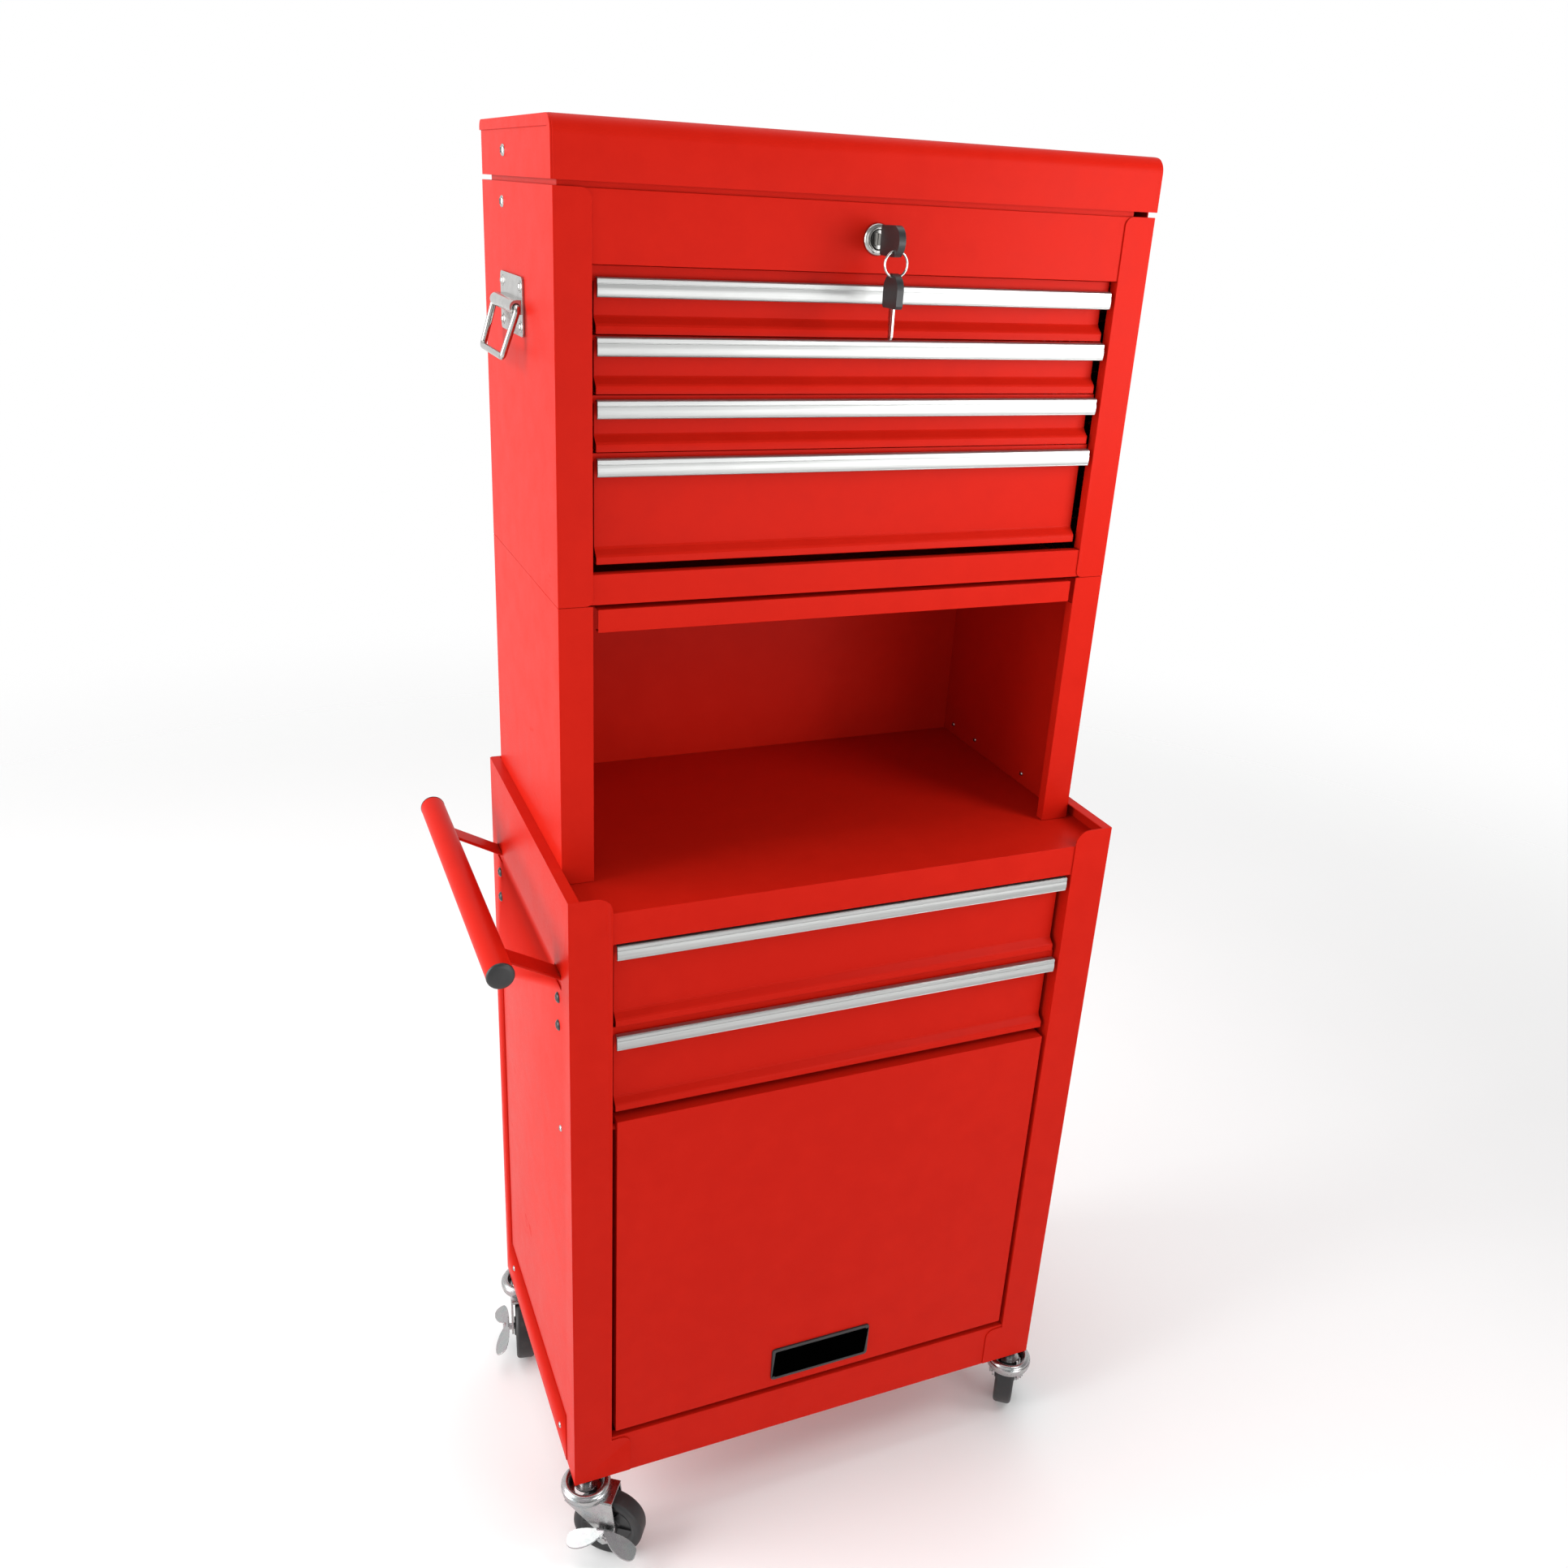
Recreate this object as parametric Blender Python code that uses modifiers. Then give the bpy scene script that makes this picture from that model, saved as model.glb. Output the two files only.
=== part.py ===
"""Rolling tool chest: a lidded four-drawer top chest on an open riser, standing on a
wheeled cabinet with two drawers, a lift-up door, a side push handle and four casters.

Blender 4.5, metres, +Z up, front facing -Y. The floor is z = 0.
"""
import math

import bmesh
import bpy
from mathutils import Matrix, Vector

MM = 0.001
GAP = 0.3 * MM              # clearance between pieces that touch
SHEET = 1.0 * MM            # sheet steel thickness
FOLD = SHEET + GAP          # how far a sheet lies behind the one that covers it

# Cabinet (the lower, wheeled part)
BASE_W, BASE_D, BASE_H = 540 * MM, 330 * MM, 680 * MM
BASE_Z = 100 * MM           # underside of the cabinet above the floor
TABLE_H = 664 * MM          # table top above the cabinet's underside
POST_INNER = 231 * MM       # half-width of every front opening
POST_ROUND = 14 * MM
FOOT_INNER, FOOT_H, FOOT_ROUND = 211 * MM, 49 * MM, 10 * MM
RETURN_D = 20 * MM          # depth of the posts' folded inner edges
BASE_OPEN = (52.5 * MM, 633.5 * MM)
BAND_T, BAND_H, BAND_W, BAND_TOP = 0.8 * MM, 64 * MM, 33 * MM, 420 * MM

# Chest and riser
CHEST_W, CHEST_D = 520 * MM, 260 * MM
CHEST_SETBACK = 62 * MM     # chest front behind the cabinet front
RISER_TOP = 915 * MM        # heights are above the cabinet's underside
CHEST_TOP = 1227 * MM
CHEST_OPEN = (941.5 * MM, 1174.5 * MM)
CHEST_RETURN_D = 10 * MM
LID_BOTTOM, LID_TOP = 1231 * MM, 1274 * MM
LID_ROUND = 12 * MM

# Drawers: (top, bottom) of each front above the cabinet's underside
CHEST_DRAWERS = [(1165.0, 1125.3), (1122.6, 1081.0), (1076.2, 1037.0), (1031.6, 947.5)]
BASE_DRAWERS = [(629.7, 545.5), (537.3, 454.0)]
FRONT_HALF = 226.5 * MM     # half-width of a drawer front
PAN_HALF = 222 * MM         # half-width of a drawer's box
RUNNER_HALF = 229.5 * MM
RUNNER_H = 6 * MM
TOOTH_INNER = 223.5 * MM
TOOTH_T = 1.2 * MM
RACK_START = 30 * MM        # the slide racks begin this far behind the drawer fronts
RUNNER_START = 32 * MM
PAN_START = 15.5 * MM       # a drawer's box begins this far behind its front
CHEST_DRAWER_D, BASE_DRAWER_D = 245 * MM, 305 * MM
TRAY_EDGE = 15 * MM         # rear fold of the trays and pans

# Door
DOOR_Z = (59 * MM, 446 * MM)
DOOR_HALF = 226.3 * MM
DOOR_D = 16 * MM
DOOR_AXIS = (-155 * MM, 436 * MM)      # y, and height above the cabinet's underside
PIN_R = 3 * MM
DOOR_PULL = (113 * MM, 42 * MM, 91 * MM)   # width, height, height of its centre
PULL_FLANGE, PULL_WALL, PULL_DEPTH = 3 * MM, 1.6 * MM, 13 * MM

# Push handle on the left side
HANDLE_X, HANDLE_Z, HANDLE_R = -328.5 * MM, 624 * MM, 12 * MM
HANDLE_Y = (-169 * MM, 177 * MM)
BRACKET_Y = (-125 * MM, 127 * MM)
BRACKET_W, BRACKET_T = 24 * MM, 3 * MM
BRACKET_BEND, BRACKET_FOOT = 586 * MM, 526 * MM
TUBE_WALL = 1.2 * MM

# Chest side handles
BAIL_Y, BAIL_Z, BAIL_STANDOFF = 39 * MM, 1135 * MM, 6.2 * MM
BAIL_R = 2.7 * MM
PLATE_W, PLATE_H, PLATE_T = 84 * MM, 46 * MM, 1.5 * MM
BAIL_REST = math.radians(18)

# Lock and keys
LOCK_Z = 1200.4 * MM
RING_R, RING_WIRE = 9.75 * MM, 0.75 * MM
KEY_HOLE_Y = -138 * MM
CYLINDER_R = 7 * MM
KEY_T, BLADE_T = 5.8 * MM, 1.8 * MM
SPARE_TIP = 1127.2 * MM

# Casters
CASTER_X, CASTER_Y = 255 * MM, 153 * MM
WHEEL_R, WHEEL_W = 37.5 * MM, 21 * MM
TRAIL = 26 * MM
HEAD_R = 24.5 * MM
AXLE_R = 3.8 * MM
FORK_INNER, FORK_OUTER = 12.9 * MM, 15.3 * MM
AXLE_NUT_R, AXLE_NUT_H = 6.5 * MM, 4.5 * MM
STEM_R, STEM_HOLE_R = 5 * MM, 5.3 * MM

FRONT_Y = -BASE_D / 2
BACK_Y = BASE_D / 2
CHEST_Y = FRONT_Y + CHEST_SETBACK
CHEST_BACK = CHEST_Y + CHEST_D
HINGE = (CHEST_BACK + 4 * MM, 1229 * MM)   # y, and height above the cabinet's underside
KNUCKLE_R, HINGE_PIN_R, HINGE_BORE_R = 3.4 * MM, 1.5 * MM, 1.8 * MM
CHEST_KNUCKLES = [(-200 * MM, -160 * MM), (-20 * MM, 20 * MM), (160 * MM, 200 * MM)]
LID_KNUCKLES = [(-159.5 * MM, -119.5 * MM), (119.5 * MM, 159.5 * MM)]

# The frame's origin is under the middle of the whole object's box.
CENTRE_X = 20.5 * MM
CENTRE_Y = 14.2 * MM

RED = (0.62, 0.018, 0.012)
ALUMINIUM = (0.66, 0.67, 0.67)
ZINC = (0.56, 0.57, 0.58)
CHROME = (0.62, 0.63, 0.65)
BLACK = (0.012, 0.012, 0.013)


# ---------------------------------------------------------------- tools

def clear_scene():
    for old in list(bpy.data.objects):
        bpy.data.objects.remove(old, do_unlink=True)


def collection(name):
    made = bpy.data.collections.new(name)
    bpy.context.scene.collection.children.link(made)
    return made


def finish(name, colour, roughness, metallic):
    """A Principled material of its own for one sub-part."""
    material = bpy.data.materials.new(name)
    material.use_nodes = True
    shader = material.node_tree.nodes["Principled BSDF"]
    shader.inputs["Base Color"].default_value = (*colour, 1)
    shader.inputs["Roughness"].default_value = roughness
    shader.inputs["Metallic"].default_value = metallic
    return material


FINISHES = {
    "paint": (RED, 0.35, 0.0),
    "aluminium": (ALUMINIUM, 0.35, 1.0),
    "zinc": (ZINC, 0.3, 1.0),
    "chrome": (CHROME, 0.12, 1.0),
    "plastic": (BLACK, 0.4, 0.0),
    "wheel": ((0.03, 0.03, 0.032), 0.55, 0.0),
}


def to_object(name, bm, group, parent):
    bm.normal_update()
    bmesh.ops.recalc_face_normals(bm, faces=bm.faces[:])
    mesh = bpy.data.meshes.new(name)
    bm.to_mesh(mesh)
    bm.free()
    made = bpy.data.objects.new(name, mesh)
    group.objects.link(made)
    made.parent = parent
    return made


def smooth(made, degrees=35):
    made.data.shade_smooth()
    made.data.set_sharp_from_angle(angle=math.radians(degrees))


def prism_mesh(outline, axis, low, high):
    """A flat outline pushed along an axis. The outline's two numbers are (y, z) for
    axis x, (x, z) for axis y and (x, y) for axis z."""
    place = {
        "x": lambda a, b: (low, a, b),
        "y": lambda a, b: (a, low, b),
        "z": lambda a, b: (a, b, low),
    }
    step = {"x": (high - low, 0, 0), "y": (0, high - low, 0), "z": (0, 0, high - low)}
    bm = bmesh.new()
    corners = [bm.verts.new(place[axis](a, b)) for a, b in outline]
    face = bm.faces.new(corners)
    pushed = bmesh.ops.extrude_face_region(bm, geom=[face])
    moved = [v for v in pushed["geom"] if isinstance(v, bmesh.types.BMVert)]
    bmesh.ops.translate(bm, verts=moved, vec=step[axis])
    return bm


def box_mesh(low, high):
    bm = bmesh.new()
    bmesh.ops.create_cube(bm, size=1)
    size = [b - a for a, b in zip(low, high)]
    middle = [(a + b) / 2 for a, b in zip(low, high)]
    bmesh.ops.scale(bm, vec=size, verts=bm.verts[:])
    bmesh.ops.translate(bm, vec=middle, verts=bm.verts[:])
    return bm


def rod_mesh(start, end, radius, sides=24):
    """A round bar between two points, flat at both ends."""
    start = Vector(start)
    along = Vector(end) - start
    bm = bmesh.new()
    bmesh.ops.create_cone(bm, cap_ends=True, segments=sides, radius1=radius, radius2=radius,
                          depth=along.length)
    turn = along.to_track_quat("Z", "Y").to_matrix().to_4x4()
    bm.transform(Matrix.Translation(start + along / 2) @ turn)
    return bm


def turned_mesh(profile, sides=32):
    """A closed (radius, height) outline spun about the Z axis."""
    bm = bmesh.new()
    ring = [bm.verts.new((r, 0, z)) for r, z in profile]
    edges = [bm.edges.new((ring[i], ring[(i + 1) % len(ring)])) for i in range(len(ring))]
    bmesh.ops.spin(bm, geom=ring + edges, axis=(0, 0, 1), cent=(0, 0, 0), steps=sides,
                   angle=2 * math.pi, use_merge=True)
    bmesh.ops.remove_doubles(bm, verts=bm.verts[:], dist=0.001 * MM)
    return bm


def arc(centre, radius, start, end, steps):
    """Points along an arc, angles in degrees from the outline's first axis."""
    angles = [math.radians(start + (end - start) * i / steps) for i in range(steps + 1)]
    return [(centre[0] + radius * math.cos(a), centre[1] + radius * math.sin(a)) for a in angles]


def folded(path, thickness=SHEET):
    """The closed outline of a bent sheet that lies to the right of its path."""
    inner = []
    for i, (x, y) in enumerate(path):
        sides = []
        for (ax, ay), (bx, by) in zip(path[max(i - 1, 0):i + 1], path[max(i, 1):i + 2]):
            length = math.hypot(bx - ax, by - ay)
            sides.append(((by - ay) / length, (ax - bx) / length))
        sides = sides[:1] if i in (0, len(path) - 1) else sides
        nx, ny = (sum(s[k] for s in sides) for k in (0, 1))
        square = (nx * sides[0][0] + ny * sides[0][1])
        inner.append((x + nx * thickness / square, y + ny * thickness / square))
    return path + inner[::-1]


def flip_x(outline):
    return [(-x, y) for x, y in outline]


def blend(target, mode, bm, label):
    """Joins or cuts a shape on a target with an exact Boolean."""
    tool = to_object(f"{target.name}_{label}", bm, CUTTERS, target.parent)
    tool.hide_render = True
    tool.display_type = "WIRE"
    change = target.modifiers.new(label, "BOOLEAN")
    change.operation = mode
    change.solver = "EXACT"
    change.object = tool


def join(target, bm, label):
    blend(target, "UNION", bm, label)


def cut(target, bm, label):
    blend(target, "DIFFERENCE", bm, label)


def part(name, kind, bm, parent=None, round_shape=False):
    """One sub-part of the object, with its own material."""
    made = to_object(name, bm, PARTS, parent or ASSEMBLY)
    made.data.materials.append(finish(name, *FINISHES[kind]))
    if round_shape:
        smooth(made)
    return made


def set_origin(made, point):
    """Puts a moving piece's origin on its joint's axis."""
    point = Vector(point)
    made.data.transform(Matrix.Translation(-point))
    made.location = point


def up(height):
    """World height of a height above the cabinet's underside."""
    return BASE_Z + height


def empty(name, location, parent):
    made = bpy.data.objects.new(name, None)
    made.location = location
    made.parent = parent
    PARTS.objects.link(made)
    return made


def round_corner(x, z, radius, side, above):
    """The cutter that rounds an outline's corner at (x, z). side and above give the
    direction from the corner into the sheet."""
    centre = (x + side * radius, z + above * radius)
    begin = 180 if side > 0 else 0
    end = 270 if above > 0 else 90
    if side < 0 and above > 0:
        end = -90
    edge = arc(centre, radius, begin, end, 5)
    spare = 3 * MM
    return edge + [(centre[0], z - above * spare), (x - side * spare, z - above * spare),
                   (x - side * spare, centre[1])]


# ---------------------------------------------------------------- cabinet

def base_side(side):
    """A side wall with its front post, folded edges and the bands near its rear and foot."""
    name = "base_side_" + ("left" if side < 0 else "right")
    outer = side * BASE_W / 2
    inner = side * POST_INNER
    top = up(BASE_H)
    foot_top = up(FOOT_H)
    foot_arc = arc((FOOT_INNER + FOOT_ROUND, foot_top - FOOT_ROUND), FOOT_ROUND, 180, 90, 5)
    top_arc = arc((POST_INNER + POST_ROUND, top - POST_ROUND), POST_ROUND, 180, 90, 6)
    post = [(BASE_W / 2, BASE_Z), (FOOT_INNER, BASE_Z)] + foot_arc + [(POST_INNER, foot_top)] + top_arc
    post.append((BASE_W / 2, top))
    post = [(side * x, z) for x, z in post]
    made = part(name, "paint", prism_mesh(post, "y", FRONT_Y, FRONT_Y + SHEET))
    wall_back = BACK_Y - 1.5 * MM
    path = [(outer, FRONT_Y + SHEET / 2), (outer, wall_back), (outer - side * 12 * MM, wall_back)]
    wall = folded(path if side < 0 else path[::-1])
    join(made, prism_mesh(wall, "z", BASE_Z, top), "wall")
    fold = sorted((outer - side * SHEET / 2, outer - side * 10 * MM))
    join(made, box_mesh((fold[0], FRONT_Y + SHEET / 2, top - SHEET),
                        (fold[1], wall_back - SHEET / 2, top - 0.05 * MM)), "top_fold")
    edge = sorted((inner, inner + side * SHEET))
    join(made, box_mesh((edge[0], FRONT_Y + SHEET / 2, up(BASE_OPEN[0])),
                        (edge[1], FRONT_Y + RETURN_D, up(BASE_OPEN[1]))), "opening_fold")
    band = [(BACK_Y - 0.5 * MM, BASE_Z + 0.5 * MM), (BACK_Y - 0.5 * MM, up(BAND_TOP)),
            (BACK_Y - BAND_W, up(BAND_TOP)), (BACK_Y - BAND_W, up(BAND_H)),
            (FRONT_Y + BAND_W, up(BAND_H)), (FRONT_Y + BAND_W, BASE_Z + 0.5 * MM)]
    skin = sorted((outer - side * SHEET / 2, outer + side * BAND_T))
    join(made, prism_mesh(band, "x", *skin), "band")
    pin = up(DOOR_AXIS[1])
    reach = side * 5 * MM
    cut(made, rod_mesh((inner - reach, DOOR_AXIS[0], pin), (inner + reach, DOOR_AXIS[0], pin), PIN_R + GAP, 16),
        "pin_hole")
    if side < 0:
        for y in BRACKET_Y:
            half = BRACKET_W / 2 + GAP
            low = up(BRACKET_BEND) - 7 * MM
            slot = box_mesh((outer - 3 * MM, y - half, low), (outer + 3 * MM, y + half, low + 15 * MM))
            cut(made, slot, "bracket_slot")
    return made


def base_shell():
    """The cabinet's walls, its table, its floor and the shelf between drawers and door."""
    inside = BASE_W / 2 - FOLD
    behind = FRONT_Y + FOLD
    rear = BACK_Y - 2.8 * MM
    base_side(-1)
    base_side(1)
    part("base_back_panel", "paint", box_mesh((-inside, BACK_Y - 1.2 * MM, up(4 * MM)),
                                              (inside, BACK_Y - 0.2 * MM, up(BASE_H))))
    table = up(TABLE_H)
    tray = [(behind, up(BASE_OPEN[1])), (behind, table), (rear, table), (rear, table - TRAY_EDGE)]
    part("base_top_tray", "paint", prism_mesh(folded(tray), "x", -inside, inside))
    floor = up(3.3 * MM)
    pan = [(rear, floor + TRAY_EDGE), (rear, floor), (behind, floor), (behind, up(52 * MM)),
           (behind + 8 * MM, up(52 * MM))]
    made = part("base_bottom_pan", "paint", prism_mesh(folded(pan), "x", -inside, inside))
    for x in (-CASTER_X, CASTER_X):
        for y in (-CASTER_Y, CASTER_Y):
            cut(made, rod_mesh((x, y, BASE_Z), (x, y, up(8 * MM)), STEM_HOLE_R, 16), "stem_hole")
    shelf = [(FRONT_Y + 26 * MM, up(440 * MM)), (FRONT_Y + 26 * MM, up(451 * MM)), (rear, up(451 * MM))]
    part("base_mid_rail", "paint", prism_mesh(folded(shelf), "x", -inside, inside))


def slide_rack(name, side, plate, drawers, y_range, z_range):
    """A side plate with a channel of two ledges for each drawer's runner. plate is the
    half-width to the plate's outer face."""
    low, high = (up(z) for z in z_range)
    wall = plate - 1.5 * MM
    outline = [(plate, low), (wall, low)]
    for top, bottom in sorted(drawers):
        runner = up(runner_height(top * MM, bottom * MM))
        for ledge in (runner - GAP - TOOTH_T, runner + RUNNER_H + GAP):
            outline += [(wall, ledge), (TOOTH_INNER, ledge), (TOOTH_INNER, ledge + TOOTH_T),
                        (wall, ledge + TOOTH_T)]
    outline += [(wall, high), (plate, high)]
    if side < 0:
        outline = flip_x(outline)
    part(name, "zinc", prism_mesh(outline, "y", *y_range))


def runner_height(top, bottom):
    """Where the underside of a drawer's runner lies."""
    return bottom + min(18 * MM, (top - bottom) * 0.4)


def drawer_front(front, top, bottom):
    """A drawer front's section: a hooded top edge, a recessed face and a rolled lip.
    The path is the sheet's rear side."""
    hood = front + 2.2 * MM
    face = front + 15 * MM
    lip = front + 8 * MM
    floor = bottom + SHEET
    path = [(hood, top - 12 * MM), (hood, top), (face, top), (face, bottom + 13 * MM),
            (face - 1.5 * MM, bottom + 10.5 * MM), (lip + 1 * MM, bottom + 7 * MM),
            (lip, bottom + 5.5 * MM), (lip, floor), (face + 12 * MM, floor)]
    return folded(path)


def pull_outline(front, top):
    """The aluminium edge that is clipped over a drawer's hood."""
    section = [(1.9, -13.0), (0.5, -13.0), (-0.3, -10.5), (-0.7, -6.0), (-0.5, -2.2), (0.3, 0.5),
               (1.5, 1.3), (5.5, 1.3), (5.5, 0.3), (1.9, 0.3)]
    return [(front + y * MM, top + z * MM) for y, z in section]


def hollow(made, thickness):
    """Turns a box with an open side into a shell that stays inside the box."""
    shell = made.modifiers.new("sheet", "SOLIDIFY")
    shell.thickness = thickness
    shell.offset = -1
    shell.use_even_offset = True


def open_side(bm, axis, sign):
    """Takes away the faces of a box that look along one axis."""
    gone = [f for f in bm.faces if sign * f.normal[axis] > 0.9]
    bmesh.ops.delete(bm, geom=gone, context="FACES_ONLY")
    return bm


def drawer(prefix, number, front, depth, top, bottom):
    """A drawer's box with its folded front and two runners, and the pull on its top edge."""
    runner = up(runner_height(top, bottom))
    top, bottom = up(top), up(bottom)
    rear = front + depth
    pan = box_mesh((-PAN_HALF, front + PAN_START, bottom + 0.4 * MM), (PAN_HALF, rear, top - 6 * MM))
    made = part(f"{prefix}_drawer_{number}", "paint", open_side(pan, 2, 1))
    hollow(made, SHEET)
    join(made, prism_mesh(drawer_front(front, top, bottom), "x", -FRONT_HALF, FRONT_HALF), "front")
    for side in (-1, 1):
        x = sorted((side * (PAN_HALF - SHEET / 2), side * RUNNER_HALF))
        join(made, box_mesh((x[0], front + RUNNER_START, runner), (x[1], rear - 5 * MM, runner + RUNNER_H)),
             "runner")
    half = FRONT_HALF + 0.4 * MM
    part(f"{prefix}_pull_{number}", "aluminium", prism_mesh(pull_outline(front, top), "x", -half, half))


def door():
    """The lift-up door, a shallow pan that is open to the rear, and its recessed pull."""
    low, high = up(DOOR_Z[0]), up(DOOR_Z[1])
    front = FRONT_Y + 1.5 * MM
    pan = box_mesh((-DOOR_HALF, front, low), (DOOR_HALF, front + DOOR_D, high))
    made = part("door_panel", "paint", open_side(pan, 1, 1))
    hollow(made, SHEET)
    axis_y, axis_z = DOOR_AXIS[0], up(DOOR_AXIS[1])
    for side in (-1, 1):
        join(made, rod_mesh((side * (DOOR_HALF - 4 * MM), axis_y, axis_z),
                            (side * (POST_INNER + 2 * MM), axis_y, axis_z), PIN_R, 16), "pin")
    width, height, middle = DOOR_PULL[0], DOOR_PULL[1], up(DOOR_PULL[2])
    x, half = width / 2 - PULL_FLANGE, height / 2 - PULL_FLANGE
    cut(made, box_mesh((-x, front - 3 * MM, middle - half), (x, front + 3 * MM, middle + half)), "pull_hole")
    x, half = x - GAP, half - GAP
    cup = box_mesh((-x, front - 0.8 * MM, middle - half), (x, front + PULL_DEPTH, middle + half))
    pull = part("door_pull", "plastic", open_side(cup, 1, -1))
    hollow(pull, PULL_WALL)
    x, half = x - PULL_WALL, half - PULL_WALL
    join(pull, box_mesh((-width / 2, front - 2 * MM, middle - height / 2),
                        (width / 2, front - GAP, middle + height / 2)), "frame")
    cut(pull, box_mesh((-x, front - 4 * MM, middle - half), (x, front + 0.5 * MM, middle + half)), "mouth")
    for piece in (made, pull):
        set_origin(piece, (0, axis_y, axis_z))


def push_handle():
    """The tube, its end caps and the two bent straps that pass into the side wall."""
    y0, y1 = HANDLE_Y
    z = up(HANDLE_Z)
    tube = part("push_handle_tube", "paint", rod_mesh((HANDLE_X, y0, z), (HANDLE_X, y1, z), HANDLE_R, 32),
                round_shape=True)
    cut(tube, rod_mesh((HANDLE_X, y0 - 5 * MM, z), (HANDLE_X, y1 + 5 * MM, z), HANDLE_R - TUBE_WALL, 32), "bore")
    for name, y, out in (("front", y0, -MM), ("rear", y1, MM)):
        cap = rod_mesh((HANDLE_X, y + out * 0.3, z), (HANDLE_X, y + out * 2.8, z), HANDLE_R + 0.2 * MM, 32)
        plug = rod_mesh((HANDLE_X, y - out * 10, z), (HANDLE_X, y + out, z), HANDLE_R - TUBE_WALL - 0.4 * MM, 24)
        join(part(f"push_cap_{name}", "plastic", cap, round_shape=True), plug, "plug")
    inside = -BASE_W / 2 + SHEET + GAP
    bend = up(BRACKET_BEND)
    reach = Vector((HANDLE_X - inside, z - bend)).normalized()
    tip = Vector((HANDLE_X, z)) - reach * (HANDLE_R + 1.3 * MM)
    path = [(tip.x, tip.y + 1.6 * MM), (inside + BRACKET_T, bend + 4 * MM),
            (inside + BRACKET_T, up(BRACKET_FOOT))]
    for name, y in zip(("front", "rear"), BRACKET_Y):
        strap = prism_mesh(folded(path, BRACKET_T), "y", y - BRACKET_W / 2, y + BRACKET_W / 2)
        part(f"push_bracket_{name}", "paint", strap)


# ---------------------------------------------------------------- riser and chest

def wrap_outline():
    """The plan section of a shell that wraps both sides, the back and the front posts."""
    half = CHEST_W / 2
    path = [(-POST_INNER, CHEST_Y), (-half, CHEST_Y), (-half, CHEST_BACK), (half, CHEST_BACK),
            (half, CHEST_Y), (POST_INNER, CHEST_Y)]
    return folded(path)


def riser():
    """The open stand under the chest and the panel that roofs it."""
    low, high = up(TABLE_H) + GAP, up(RISER_TOP) - GAP / 2
    made = part("riser_shell", "paint", prism_mesh(wrap_outline(), "z", low, high))
    add_returns(made, low + 0.5 * MM, up(890 * MM))
    inside = CHEST_W / 2 - FOLD
    narrow = FRONT_HALF
    front = CHEST_Y + 1.5 * MM
    behind = CHEST_Y + 12 * MM
    deck = up(911.5 * MM)
    low_lip = up(892 * MM)
    plan = [(-narrow, front), (narrow, front), (narrow, behind), (inside, behind),
            (inside, CHEST_BACK - FOLD), (-inside, CHEST_BACK - FOLD), (-inside, behind), (-narrow, behind)]
    panel = part("riser_top_panel", "paint", prism_mesh(plan, "z", deck - SHEET, deck))
    lip = [(front, deck - 0.05 * MM), (front, low_lip), (front + 8 * MM, low_lip),
           (front + 8 * MM, low_lip + SHEET), (front + SHEET, low_lip + SHEET),
           (front + SHEET, deck - 0.05 * MM)]
    join(panel, prism_mesh(lip, "x", -narrow, narrow), "header")


def add_returns(made, low, high):
    """The folded inner edges of both front posts, between two heights."""
    for side in (-1, 1):
        x = sorted((side * POST_INNER, side * (POST_INNER + SHEET)))
        fold = box_mesh((x[0], CHEST_Y + SHEET / 2, low), (x[1], CHEST_Y + CHEST_RETURN_D, high))
        join(made, fold, "opening_fold")


def knuckle(made, low, high, direction):
    """One hinge knuckle with its leaf, which points up (1) or down (-1)."""
    y, z = HINGE[0], up(HINGE[1])
    leaf_z = sorted((z + direction * 2.2 * MM, z + direction * 16 * MM))
    web_z = sorted((z + direction * 0.2 * MM, z + direction * 3 * MM))
    join(made, rod_mesh((low, y, z), (high, y, z), KNUCKLE_R, 16), "knuckle")
    join(made, box_mesh((low, CHEST_BACK - 0.5 * MM, leaf_z[0]), (high, CHEST_BACK + 1.6 * MM, leaf_z[1])), "leaf")
    join(made, box_mesh((low, CHEST_BACK + 0.2 * MM, web_z[0]), (high, y, web_z[1])), "web")
    cut(made, rod_mesh((low - 1 * MM, y, z), (high + 1 * MM, y, z), HINGE_BORE_R, 16), "bore")


def chest_shell():
    """The chest's walls and front posts, with the fixed halves of the hinge."""
    low, high = up(RISER_TOP) + GAP / 2, up(CHEST_TOP)
    made = part("chest_shell", "paint", prism_mesh(wrap_outline(), "z", low, high))
    add_returns(made, up(CHEST_OPEN[0]), up(CHEST_OPEN[1]))
    for side in (-1, 1):
        for z, above, radius in ((high, -1, 8 * MM), (low, 1, 6 * MM)):
            outline = round_corner(side * POST_INNER, z, radius, side, above)
            cut(made, prism_mesh(outline, "y", CHEST_Y - 2 * MM, CHEST_Y + 2 * MM), "corner")
    for low_x, high_x in CHEST_KNUCKLES:
        knuckle(made, low_x, high_x, -1)


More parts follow.
